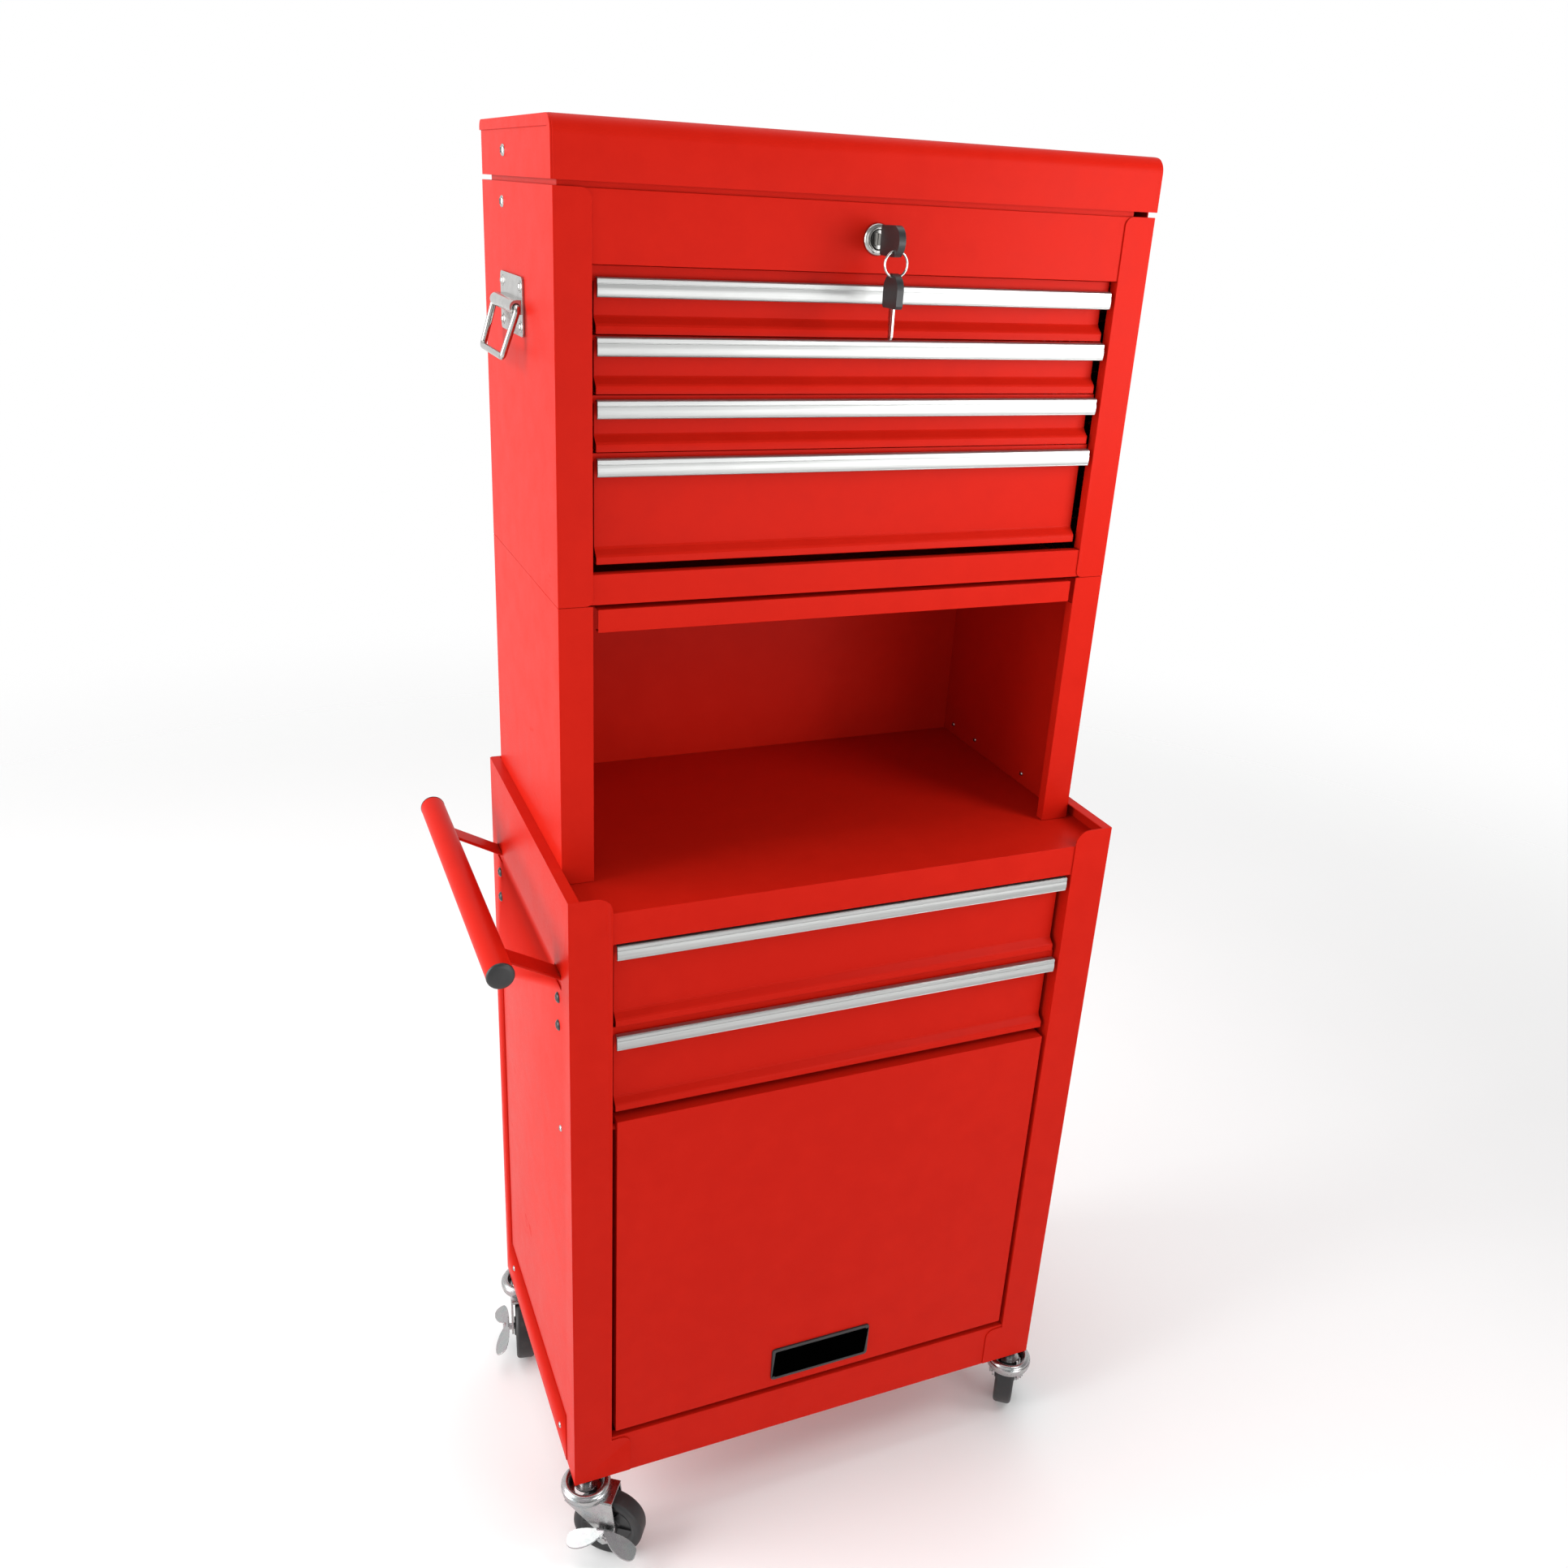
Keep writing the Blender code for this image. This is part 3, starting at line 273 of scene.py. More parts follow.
def soften(bm, fold=1.3, rim=0.28, narrow=2.4, sharp=28):
    """Rounds the sheet's outer folds by fold, and every other sharp edge by rim."""
    bm.normal_update()
    folds, rims = [], []
    for edge in bm.edges:
        if len(edge.link_faces) != 2 or edge.calc_face_angle(0.0) < math.radians(sharp):
            continue
        width = min(face.calc_area() for face in edge.link_faces) / max(edge.calc_length(), MM)
        if edge.is_convex and width > narrow * MM and edge.calc_length() > 2 * narrow * MM:
            folds.append(edge)
        else:
            rims.append(edge)
    if folds:
        bevel(bm, folds, fold, 4)
    left = [e for e in rims if e.is_valid and len(e.link_faces) == 2]
    if left:
        bevel(bm, left, rim, 2)
    return bm


def add(bm, other):
    """Moves another shape's mesh into bm."""
    carrier = bpy.data.meshes.new("carrier")
    other.to_mesh(carrier)
    other.free()
    bm.from_mesh(carrier)
    bpy.data.meshes.remove(carrier)
    return bm


def paint_faces(bm, index):
    for face in bm.faces:
        face.material_index = index
    return bm


def block(low, high):
    bm = bmesh.new()
    bmesh.ops.create_cube(bm, size=1)
    low, high = Vector(low), Vector(high)
    bmesh.ops.scale(bm, vec=high - low, verts=bm.verts[:])
    bmesh.ops.translate(bm, vec=(low + high) / 2, verts=bm.verts[:])
    return bm


def slab(corners, push):
    """A flat outline of points pushed into a solid."""
    bm = bmesh.new()
    face = bm.faces.new([bm.verts.new(c) for c in corners])
    grown = bmesh.ops.extrude_face_region(bm, geom=[face])["geom"]
    bmesh.ops.translate(bm, verts=[g for g in grown if isinstance(g, bmesh.types.BMVert)], vec=push)
    bmesh.ops.recalc_face_normals(bm, faces=bm.faces[:])
    return bm


def rod(start, end, radius, sides=32):
    start, along = Vector(start), Vector(end) - Vector(start)
    bm = bmesh.new()
    turn = along.to_track_quat("Z", "Y").to_matrix().to_4x4()
    bmesh.ops.create_cone(bm, cap_ends=True, segments=sides, radius1=radius, radius2=radius,
                          depth=along.length, matrix=Matrix.Translation(start + along / 2) @ turn)
    return bm


def turned(profile, point, axis, steps=48):
    """A (radius, height) line in mm spun about an axis through a point; heights run along it."""
    bm = bmesh.new()
    line = [bm.verts.new((r * MM, 0, h * MM)) for r, h in profile]
    edges = [bm.edges.new(pair) for pair in zip(line, line[1:])]
    bmesh.ops.spin(bm, geom=line + edges, axis=(0, 0, 1), cent=(0, 0, 0), steps=steps,
                   angle=2 * math.pi, use_merge=True)
    bmesh.ops.remove_doubles(bm, verts=bm.verts[:], dist=0.002 * MM)
    bmesh.ops.recalc_face_normals(bm, faces=bm.faces[:])
    turn = Vector(axis).to_track_quat("Z", "Y").to_matrix().to_4x4()
    bm.transform(Matrix.Translation(point) @ turn)
    return bm


def wire(points, radius, sides=16):
    """A round wire through points, closed with flat ends: a circle swept along the line."""
    bm = bmesh.new()
    rings = []
    for i, point in enumerate(points):
        ahead = Vector(points[min(i + 1, len(points) - 1)]) - Vector(points[max(i - 1, 0)])
        turn = ahead.to_track_quat("Z", "Y").to_matrix().to_4x4()
        ring = bmesh.ops.create_circle(bm, cap_ends=i in (0, len(points) - 1), segments=sides,
                                       radius=radius, matrix=Matrix.Translation(point) @ turn)["verts"]
        rings.append(ring)
    for near, far in zip(rings, rings[1:]):
        sides_near = list({e for v in near for e in v.link_edges if e.other_vert(v) in near})
        sides_far = list({e for v in far for e in v.link_edges if e.other_vert(v) in far})
        bmesh.ops.bridge_loops(bm, edges=sides_near + sides_far)
    bmesh.ops.recalc_face_normals(bm, faces=bm.faces[:])
    return bm


def arc(centre, radius, start, end, steps):
    angles = [math.radians(start + (end - start) * i / steps) for i in range(steps + 1)]
    return [(centre[0] + radius * math.cos(a), centre[1] + radius * math.sin(a)) for a in angles]


def piece(name, bm, materials, body, replaced=(), angle=35):
    """A finished piece at the origin, riding on its body."""
    mesh = bpy.data.meshes.new(name)
    bm.to_mesh(mesh)
    bm.free()
    for material in materials if isinstance(materials, (list, tuple)) else [materials]:
        mesh.materials.append(material)
    mesh.shade_smooth()
    mesh.set_sharp_from_angle(angle=math.radians(angle))
    made = bpy.data.objects.new(name, mesh)
    bpy.context.scene.collection.objects.link(made)
    weigh = made.modifiers.new("weighted_normals", "WEIGHTED_NORMAL")
    weigh.keep_sharp = True
    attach(made, body)
    if replaced:
        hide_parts(*replaced)
    return made


# ---------------------------------------------------------------- painted sheet steel

SHEETS = [
    "base_side_left", "base_side_right", "base_back_panel", "base_top_tray", "base_bottom_pan",
    "base_mid_rail", "riser_shell", "riser_top_panel", "chest_shell", "chest_lock_rail",
    "chest_bottom_pan", "chest_till", "push_bracket_front", "push_bracket_rear",
]
RAIL_DROP = 4.5         # mm by which the rail under the door reaches below the solid's edge
for node in SHEETS:
    sheet = cad_copy(node)
    if node == "base_bottom_pan":
        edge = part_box(node)[0][2] + 0.5 * MM
        low_edge = [v for v in sheet.verts if v.co.z < edge]
        bmesh.ops.translate(sheet, vec=(0, 0, -RAIL_DROP * MM), verts=low_edge)
    # The till inside the chest gets the darker copy of the red, which is painted shade
    paint = RED_PAINTED_SHADE if node == "chest_till" else RED
    piece(f"{node}_sheet", soften(sheet), paint, "body", [node])
piece("door_sheet", soften(cad_copy("door_panel"), fold=1.6), RED, "door", ["door_panel"])

# ---------------------------------------------------------------- drawers

DRAWERS = [("chest", i) for i in range(1, 5)] + [("base", i) for i in (1, 2)]
PANEL_FOLD = 1.2                            # mm from the drawer's foremost fold to its flat panel
UPSTAND_SET_BACK, UPSTAND_GAP = 8.0, 0.8    # mm behind the panel, and under what's above


def pull_section(front, top):
    """A pull's section: a hooked top, a flat lip over a fine groove, a broad convex face."""
    face = [(-0.35, 0.2), (-0.42, -2.6), (-0.15, -2.8), (-0.15, -3.2), (-0.5, -3.4)]
    face += [(-0.5 - 0.42 * math.sin(math.pi * i / 10), -3.4 - 8.2 * i / 10) for i in range(1, 10)]
    face += [(-0.45, -11.7), (-0.2, -11.9), (-0.2, -12.2), (-0.4, -12.4), (-0.1, -12.8)]
    outline = [(5.5, 0.3), (5.5, 1.3), (1.6, 1.3), (0.9, 1.1), (0.3, 0.7)] + face
    outline += [(1.0, -13.0), (1.9, -13.0), (1.9, 0.3)]
    return [(front + y, top + z) for y, z in outline]


# The underside of what's above each drawer, which its upstand stops short of
CEILINGS = {
    "chest_drawer_1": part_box("chest_lock_rail")[0][2], "base_drawer_1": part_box("base_top_tray")[0][2],
    "base_drawer_2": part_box("base_drawer_1")[0][2],
    **{f"chest_drawer_{i}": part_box(f"chest_drawer_{i - 1}")[0][2] for i in (2, 3, 4)},
}
for kind, number in DRAWERS:
    body = f"{kind}_drawer_{number}"
    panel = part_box(body)
    front = (panel[0][1] - FRONT_Y) / MM - PANEL_FOLD
    top = (panel[1][2] - UNDERSIDE) / MM
    piece(f"{body}_sheet", soften(cad_copy(body), fold=1.1), RED, body, [body])
    section = [at(-PULL_HALF, y, z) for y, z in pull_section(front, top)]
    strip = slab(section, Vector((2 * PULL_HALF * MM, 0, 0)))
    y, ceiling = front + UPSTAND_SET_BACK, (CEILINGS[body] - UNDERSIDE) / MM
    upstand = block(at(-UPSTAND_HALF, y, top - 2.0), at(UPSTAND_HALF, y + 1.0, ceiling - UPSTAND_GAP))
    piece(f"{body}_upstand", soften(upstand, 0.3, 0.2), RED, body)
    piece(f"{kind}_pull_{number}_strip", strip, ALUMINIUM, body,
          [f"{kind}_pull_{number}"], 50)


# ---------------------------------------------------------------- lid

def lid_cover():
    """A thin-walled cover, open below, with a rolled front edge and a smaller roll at the rear."""
    half, near = CHEST_HALF - 0.2, 0.01 * MM
    low, high = at(-half, CHEST_FRONT - 0.5, LID_LOW), at(half, CHEST_BACK, LID_HIGH)
    bm = block(low, high)
    for y, radius, steps in ((low.y, 13, 12), (high.y, 7, 6)):
        edges = [e for e in bm.edges
                 if all(abs(v.co.z - high.z) < near and abs(v.co.y - y) < near for v in e.verts)]
        bevel(bm, edges, radius, steps)
    ends = [e for e in bm.edges if all(abs(abs(v.co.x - MIDDLE_X) - half * MM) < near for v in e.verts)]
    bevel(bm, [e for e in ends if max(v.co.z for v in e.verts) > low.z + MM], 0.9, 3)
    bottom = [f for f in bm.faces if f.normal.z < -0.9 and f.calc_area() > 0.01]
    bmesh.ops.delete(bm, geom=bottom, context="FACES_ONLY")
    made = piece("lid_cover", bm, RED, "lid", ["lid_shell"])
    wall = made.modifiers.new("wall", "SOLIDIFY")
    wall.thickness = 1.0 * MM
    wall.offset = -1
    wall.use_even_offset = True
    made.modifiers.move(1, 0)


lid_cover()
end_fold = [(62.0, 1231.0), (62.0, 1261.0)] + arc((74.6, 1261.2), 12.6, 180, 90, 8)
end_fold += arc((315.0, 1267.2), 6.6, 90, 10, 5) + [(321.6, 1265.5), (71.0, 1265.5), (71.0, 1231.0)]
for side, hand in SIDES:
    x = side * (CHEST_HALF - 0.4)
    corners = [at(x, y, z) for y, z in end_fold]
    fold = slab(corners, Vector((side * 1.6 * MM, 0, 0)))
    piece(f"lid_end_fold_{hand}", soften(fold, 0.3, 0.25), RED, "lid")


RIM_LOW, RIM_HIGH = 1215.0, 1236.0
# The till's folded rim, standing just inside the chest's walls; it closes the gap under the lid
rim = block(at(-256, 65.5, RIM_LOW), at(240, 66.5, RIM_HIGH))
add(rim, block(at(-238, 316.0, RIM_LOW), at(238, 317.0, RIM_HIGH)))
for x in (-256, 255):
    add(rim, block(at(x, 67, RIM_LOW), at(x + 1, 300, RIM_HIGH)))
piece("till_rim", soften(rim, 0.4, 0.25), RED, "body")


def hinge_leaves(name, spans, direction, body):
    """Knuckles with their leaves and leaf screws, on the rear of the chest or of the lid."""
    axis_y, axis_z = CHEST_BACK + 4, HINGE_Z
    bm = bmesh.new()
    for low, high in spans:
        add(bm, rod(at(low, axis_y, axis_z), at(high, axis_y, axis_z), 3.4 * MM, 24))
        z = sorted((axis_z + direction * 0.6, axis_z + direction * 16))
        add(bm, block(at(low, CHEST_BACK - 0.2, z[0]), at(high, CHEST_BACK + 1.5, z[1])))
        for x in (low + 9, high - 9):
            point = at(x, CHEST_BACK + 1.4, axis_z + direction * 10)
            add(bm, turned([(0, 1.1), (1.2, 1.0), (2.2, 0.6), (2.6, 0)], point, (0, 1, 0), 16))
    piece(name, soften(bm, 0.4, 0.25), ZINC, body)


hinge_leaves("lid_hinge_leaves", [(-159.5, -119.5), (119.5, 159.5)], 1, "lid")
hinge_leaves("chest_hinge_leaves", [(-200, -160), (-20, 20), (160, 200)], -1, "body")


# ---------------------------------------------------------------- screws and rivets

def screw(point, normal, radius, height):
    """A round-headed screw whose cross recess is a cross on slot 1, painted near-black as painted shade;
    returns its mesh.
    """
    bm = turned([(0, height), (radius * 0.45, height * 0.95), (radius * 0.8, height * 0.66),
                 (radius * 0.97, height * 0.25), (radius, 0.0), (radius, -0.4)], point, normal, 24)
    normal = Vector(normal)
    top = Vector(point) + normal * height * MM
    side = normal.orthogonal().normalized()
    up = normal.cross(side)
    # The recess is a cross that lies on the head and takes the near-black paint: painted shade in place of a
    # hollow
    for along, across in ((side, up), (up, side)):
        arm = slab([top + (along * a + across * b) * radius * MM - normal * 0.35 * MM
                    for a, b in ((-0.5, -0.11), (0.5, -0.11), (0.5, 0.11), (-0.5, 0.11))],
                   normal * 0.42 * MM)
        add(bm, paint_faces(arm, 1))
    return bm


def screw_set(name, places, body, finish, radius, height):
    """One piece made of a screw at each (point, outward direction)."""
    bm = bmesh.new()
    for point, normal in places:
        add(bm, screw(point, normal, radius, height))
    piece(name, bm, [finish, BLACK_SCREW_AND_RECESS_SHADE], body)


wall_spots = [(298.7, 423.7), (36.8, 424.7), (286.1, 35.8), (58.2, 24.4)]
STAY_RADIUS, STAY_HEIGHT = 4.8, 2.0
for side, hand in SIDES:
    out = (side, 0, 0)
    lift = [0.8 if y > 297 or y < 33 or z < 64 else 0.0 for y, z in wall_spots]
    screw_set(f"cabinet_screws_{hand}",
              [(at(side * (CABINET_HALF + h), y, z), out) for (y, z), h in zip(wall_spots, lift)],
              "body", ZINC, 3.2, 1.7)
    for stay, y, z, body in (("lid", 230.3, 1249.9, "lid"), ("chest", 238.7, 1211.5, "body")):
        screw_set(f"{stay}_stay_screw_{hand}", [(at(side * CHEST_HALF, y, z), out)], body, CHROME,
                  STAY_RADIUS, STAY_HEIGHT)
    screw_set(f"riser_screws_{hand}",
              [(at(side * (CHEST_HALF - 1.2), y, z), (-side, 0, 0))
               for y, z in ((100, 676), (150, 676), (250, 676), (300, 676))],
              "body", ZINC, 2.6, 1.4)
screw_set("push_handle_screws",
          [(at(-CABINET_HALF, y, z), (-1, 0, 0)) for y in (40, 292) for z in (565, 536)],
          "body", BLACK_SCREW_AND_RECESS_SHADE, 5.2, 2.6)
screw_set("back_panel_screws",
          [(at(x, CABINET_BACK, z), (0, 1, 0)) for x in (-255, 0, 255) for z in (20, 340, 665)],
          "body", ZINC, 2.8, 1.5)


# ---------------------------------------------------------------- push handle

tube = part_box("push_handle_tube")
tube_x, tube_z = (tube[0][0] + tube[1][0]) / 2, (tube[0][2] + tube[1][2]) / 2
tube_length = (tube[1][1] - tube[0][1]) / MM
grip = turned([(10.9, 0.0), (11.5, 0.0), (12.0, 0.5), (12.0, tube_length - 0.5), (11.5, tube_length),
               (10.9, tube_length), (10.9, 0.0)], (tube_x, tube[0][1], tube_z), (0, 1, 0), 72)
piece("push_handle_grip", grip, RED, "body", ["push_handle_tube"])
for end, y, out in (("front", tube[0][1], -1), ("rear", tube[1][1], 1)):
    dome = turned([(0, 3.4), (7.5, 3.2), (10.4, 2.7), (11.8, 1.6), (12.2, 0.6), (12.2, 0.0), (10.7, 0.0),
                   (10.7, -8.0), (0, -8.0)], (tube_x, y + out * 0.1 * MM, tube_z), (0, out, 0), 56)
    piece(f"push_handle_plug_{end}", dome, BLACK, "body", [f"push_cap_{end}"])


# ---------------------------------------------------------------- chest side handles

BAIL_Y, BAIL_Z, BAIL_TILT = 204.0, 1135.0, math.radians(18)
RIVET_Y, RIVET_Z, PLATE_FACE = 34.0, 15.5, 1.7
for side, hand in SIDES:
    axis_x = side * (CHEST_HALF + 6.2)
    plate = soften(cad_copy(f"chest_handle_plate_{hand}"), 0.5, 0.3)
    for y, z in ((RIVET_Y, RIVET_Z), (-RIVET_Y, RIVET_Z), (RIVET_Y, -RIVET_Z), (-RIVET_Y, -RIVET_Z)):
        spot = at(side * (CHEST_HALF + PLATE_FACE), BAIL_Y + y, BAIL_Z + z)
        rivet = turned([(0, 2.1), (1.5, 1.95), (2.8, 1.3), (3.4, 0.4), (3.5, -0.3)], spot, (side, 0, 0), 24)
        washer = turned([(3.0, 0.55), (4.6, 0.4), (4.9, 0.0), (4.9, -0.3)], spot, (side, 0, 0), 28)
        add(add(plate, rivet), washer)
    piece(f"chest_handle_plate_{hand}_riveted", plate, CHROME, "body",
          [f"chest_handle_plate_{hand}"])
    loop = [(-30.0, 0.0)] + arc((-41.5, -4.5), 4.5, 90, 180, 6) + arc((-37.0, -35.5), 4.5, 184, 270, 6)
    loop = loop + [(-a, b) for a, b in loop[::-1]]
    points = [at(axis_x - side * b * math.sin(BAIL_TILT), BAIL_Y + a, BAIL_Z + b * math.cos(BAIL_TILT))
              for a, b in loop]
    piece(f"bail_{hand}_wire", wire(points, 2.7 * MM, 20), CHROME, f"bail_{hand}",
          [f"bail_{hand}"], 60)


# ---------------------------------------------------------------- lock and keys

lock_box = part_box("lock_housing")
lock_x, lock_z = (lock_box[0][0] + lock_box[1][0]) / 2, (lock_box[0][2] + lock_box[1][2]) / 2
HEAD_HALF = 2.9 * MM            # half the thickness of a key's moulded head
collar = turned([(7.35, -3.0), (7.35, 2.6), (7.9, 3.4), (8.6, 3.6), (10.6, 3.4), (12.0, 2.0), (12.3, 0.9),
                 (12.3, -0.2), (9.6, -0.2), (9.6, -21.0), (7.35, -21.0), (7.35, -3.0)],
                (lock_x, lock_box[0][1] + 3 * MM, lock_z), (0, -1, 0), 64)
piece("lock_collar", collar, CHROME, "body", ["lock_housing"], 50)
piece("lock_barrel", soften(cad_copy("lock_cylinder"), 0.3, 0.2), CHROME, "lock_core",
      ["lock_cylinder"])


def lock_key():
    """The key in the lock: a grip with an arched end and a raised eye on each face where the ring passes, on
    a flat blade.
    """
    low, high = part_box("lock_key")
    near, middle_z, half = low[1] / MM, (low[2] + high[2]) / 2 / MM, 11.5
    back = near + 33.0
    outline = [(near + half + b, middle_z + a) for a, b in arc((0, 0), half, 180, 360, 16)]
    outline = outline + [(back - 1.5, middle_z + 11.0), (back, middle_z + 9.5), (back, middle_z - 9.5),
                         (back - 1.5, middle_z - 11.0)]
    corners = [Vector((lock_x - HEAD_HALF, y * MM, z * MM)) for y, z in outline]
    grip = soften(slab(corners, Vector((2 * HEAD_HALF, 0, 0))), 1.3, 0.4, narrow=1.5)
    blade = block((lock_x - 1.1 * MM, (back - 1) * MM, (middle_z - 4.2) * MM),
                  (lock_x + 1.1 * MM, high[1], (middle_z + 4.2) * MM))
    add(grip, paint_faces(soften(blade, 0.3, 0.2), 1))
    for side in (-1, 1):
        eye = turned([(1.9, 0.0), (2.2, 0.25), (2.9, 0.25), (3.2, 0.0), (3.2, -0.3)],
                     (lock_x + side * HEAD_HALF, (near + 8.2) * MM, (middle_z - 8.0) * MM), (side, 0, 0), 20)
        add(grip, eye)
    piece("lock_key_grip", grip, [BLACK, CHROME], "lock_core", ["lock_key"])


lock_key()


def spare_key():
    """The key that hangs from the ring: a round-topped head over a cut and grooved blade."""
    low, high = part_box("spare_key")
    middle_y = (low[1] + high[1]) / 2
    tip, top = low[2] / MM, high[2] / MM
    shoulder = top - 24.5
    shape = [(-10.6, shoulder - 1.2), (-12.2, shoulder + 1.0), (-12.4, top - 13.0)]
    shape += arc((0, top - 12.4), 12.4, 175, 5, 14)
    shape += [(12.4, top - 13.0), (12.2, shoulder + 1.0), (10.6, shoulder - 1.2)]
    corners = [Vector((lock_x - HEAD_HALF, middle_y + a * MM, b * MM)) for a, b in shape]
    grip = soften(slab(corners, Vector((2 * HEAD_HALF, 0, 0))), 1.3, 0.4, narrow=1.5)
    teeth = [(-3.6, shoulder + 1), (-3.6, tip + 4), (-2.2, tip + 1.2), (0, tip), (1.6, tip + 1.6),
             (2.4, tip + 4.2), (1.7, tip + 5.6), (3.0, tip + 8.2), (2.0, tip + 10.0), (3.3, tip + 12.4),
             (2.6, tip + 14.6), (3.6, tip + 16.6), (3.6, shoulder + 1)]
    corners = [Vector((lock_x - 0.9 * MM, middle_y + a * MM, b * MM)) for a, b in teeth]
    blade = paint_faces(soften(slab(corners, Vector((1.8 * MM, 0, 0))), 0.25, 0.2), 1)
    for side in (-1, 1):
        groove = slab([Vector((lock_x + side * 0.86 * MM, middle_y + a * MM, b * MM))
                       for a, b in ((-1.2, shoulder), (-1.2, tip + 4), (-0.3, tip + 4), (-0.3, shoulder))],
                      Vector((side * 0.12 * MM, 0, 0)))
        add(blade, paint_faces(groove, 1))
    add(grip, blade)
    piece("spare_key_cut", grip, [BLACK, CHROME], "spare_key", ["spare_key"])


spare_key()
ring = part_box("key_ring")
ring_centre = [(a + b) / 2 for a, b in zip(*ring)]
RING_INSET, RING_WIRE = 0.75, 0.95
ring_radius = (ring[1][2] - ring[0][2]) / 2 / MM - RING_INSET
split = turned([(ring_radius + dr, dh) for dr, dh in arc((0, 0), RING_WIRE, 0, 360, 12)],
               ring_centre, (0, 1, 0), 64)
piece("key_ring_wire", split, CHROME, "key_ring", ["key_ring"], 60)


# ---------------------------------------------------------------- door pull

def rounded_loop(bm, low, high, inset, radius, y):
    """A closed loop of points: a rectangle with rounded corners, standing at depth y."""
    x0, x1, z0, z1 = low[0] + inset * MM, high[0] - inset * MM, low[2] + inset * MM, high[2] - inset * MM
    r = radius * MM
    corners = ((x1 - r, z1 - r, 0), (x0 + r, z1 - r, 90), (x0 + r, z0 + r, 180), (x1 - r, z0 + r, 270))
    points = [p for x, z, start in corners for p in arc((x, z), r, start, start + 90, 6)]
    loop = [bm.verts.new((x, low[1] + y * MM, z)) for x, z in points]
    return [bm.edges.new(pair) for pair in zip(loop, loop[1:] + loop[:1])]


def door_pull():
    """A recessed grip: a rounded frame, a sloping inner rim and a deep cup with a finger ledge."""
    low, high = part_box("door_pull")
    bm = bmesh.new()
    # Each loop's inset, corner radius and depth
    steps = [(0.0, 3.4, 2.2), (0.0, 3.4, 0.5), (0.25, 3.3, 0.12), (0.8, 3.0, 0.0), (3.4, 2.0, 0.0),
             (3.9, 1.8, 0.15), (4.2, 1.6, 0.6), (4.6, 1.4, 1.6), (6.2, 1.2, 2.0), (6.8, 1.0, 13.4)]
    loops = [rounded_loop(bm, low, high, *step) for step in steps]
    for near, far in zip(loops, loops[1:]):
        bmesh.ops.bridge_loops(bm, edges=near + far)
    bmesh.ops.contextual_create(bm, geom=loops[-1])
    bmesh.ops.recalc_face_normals(bm, faces=bm.faces[:])
    x0, x1 = low[0] + 7.5 * MM, high[0] - 7.5 * MM
    ledge = slab([Vector((x0, low[1] + y * MM, low[2] + z * MM)) for y, z in
                  ((1.6, 6.2), (1.6, 11.5), (3.4, 13.0), (12.0, 13.0), (12.0, 6.2))], Vector((x1 - x0, 0, 0)))
    add(bm, soften(ledge, 0.8, 0.3))
    piece("door_pull_grip", bm, BLACK, "door", ["door_pull"], 40)


door_pull()


# ---------------------------------------------------------------- casters

CASTERS = {"front_left": -34, "front_right": 54, "rear_left": -100, "rear_right": 160}
TRAIL, WHEEL_R = 26.0, 37.5

# A pedal's wings: where they start, how steeply they fall outwards and towards their tips, and
# one wing's outline
PEDAL_INNER, PEDAL_FALL, PEDAL_DROOP = 18.5, 0.7, 0.14
WING = [(0, 18.3), (0, 21.5), (5, 26.0), (12, 31.0), (22, 34.6), (31, 35.0), (36, 32.6), (37.4, 28.0),
        (35.8, 23.6), (29, 20.6), (20, 19.0), (10, 18.3)]


def eased(points, steps):
    """A smooth line through the points, with steps pieces between neighbours."""
    line = []
    for i in range(len(points) - 1):
        before, here = points[max(i - 1, 0)], points[i]
        there, after = points[i + 1], points[min(i + 2, len(points) - 1)]
        for j in range(steps):
            t = j / steps
            line.append(tuple(0.5 * (2 * b + (c - a) * t + (2 * a - 5 * b + 4 * c - d) * t ** 2
                                     + (3 * b - a - 3 * c + d) * t ** 3)
                              for a, b, c, d in zip(before, here, there, after)))
    return line + [points[-1]]


def pressed_pedal(place):
    """A brake pedal: two leaf-shaped wings falling outwards, over a tab that the axle passes through."""
    base = Vector((TRAIL, 0, WHEEL_R))
    bm = block((base + Vector((-8, -19.8, -2))) * MM, (base + Vector((8, -18.3, 9))) * MM)
    for side in (-1, 1):
        corners = []
        for u, v in [WING[0]] + eased(WING[1:], 4):
            fall = 8.8 - (v - PEDAL_INNER) * PEDAL_FALL - u * PEDAL_DROOP
            corners.append((base + Vector((side * u, -v, fall))) * MM)
        wing = slab(corners, Vector((0, 0, -1.8 * MM)))
        add(bm, soften(wing, 0.5, 0.3))
    bm.transform(place)
    return bm


FORK_INNER, FORK_OUTER, AXLE_R, AXLE_NUT_R, AXLE_NUT_H = 12.9, 15.3, 3.8, 6.5, 4.5
LEG = ([(-17, 80), (-18.5, 71), (14, 40)] + arc((TRAIL, WHEEL_R), 9.5, 190, 350, 14)
       + [(36.5, 46), (32.5, 80)])


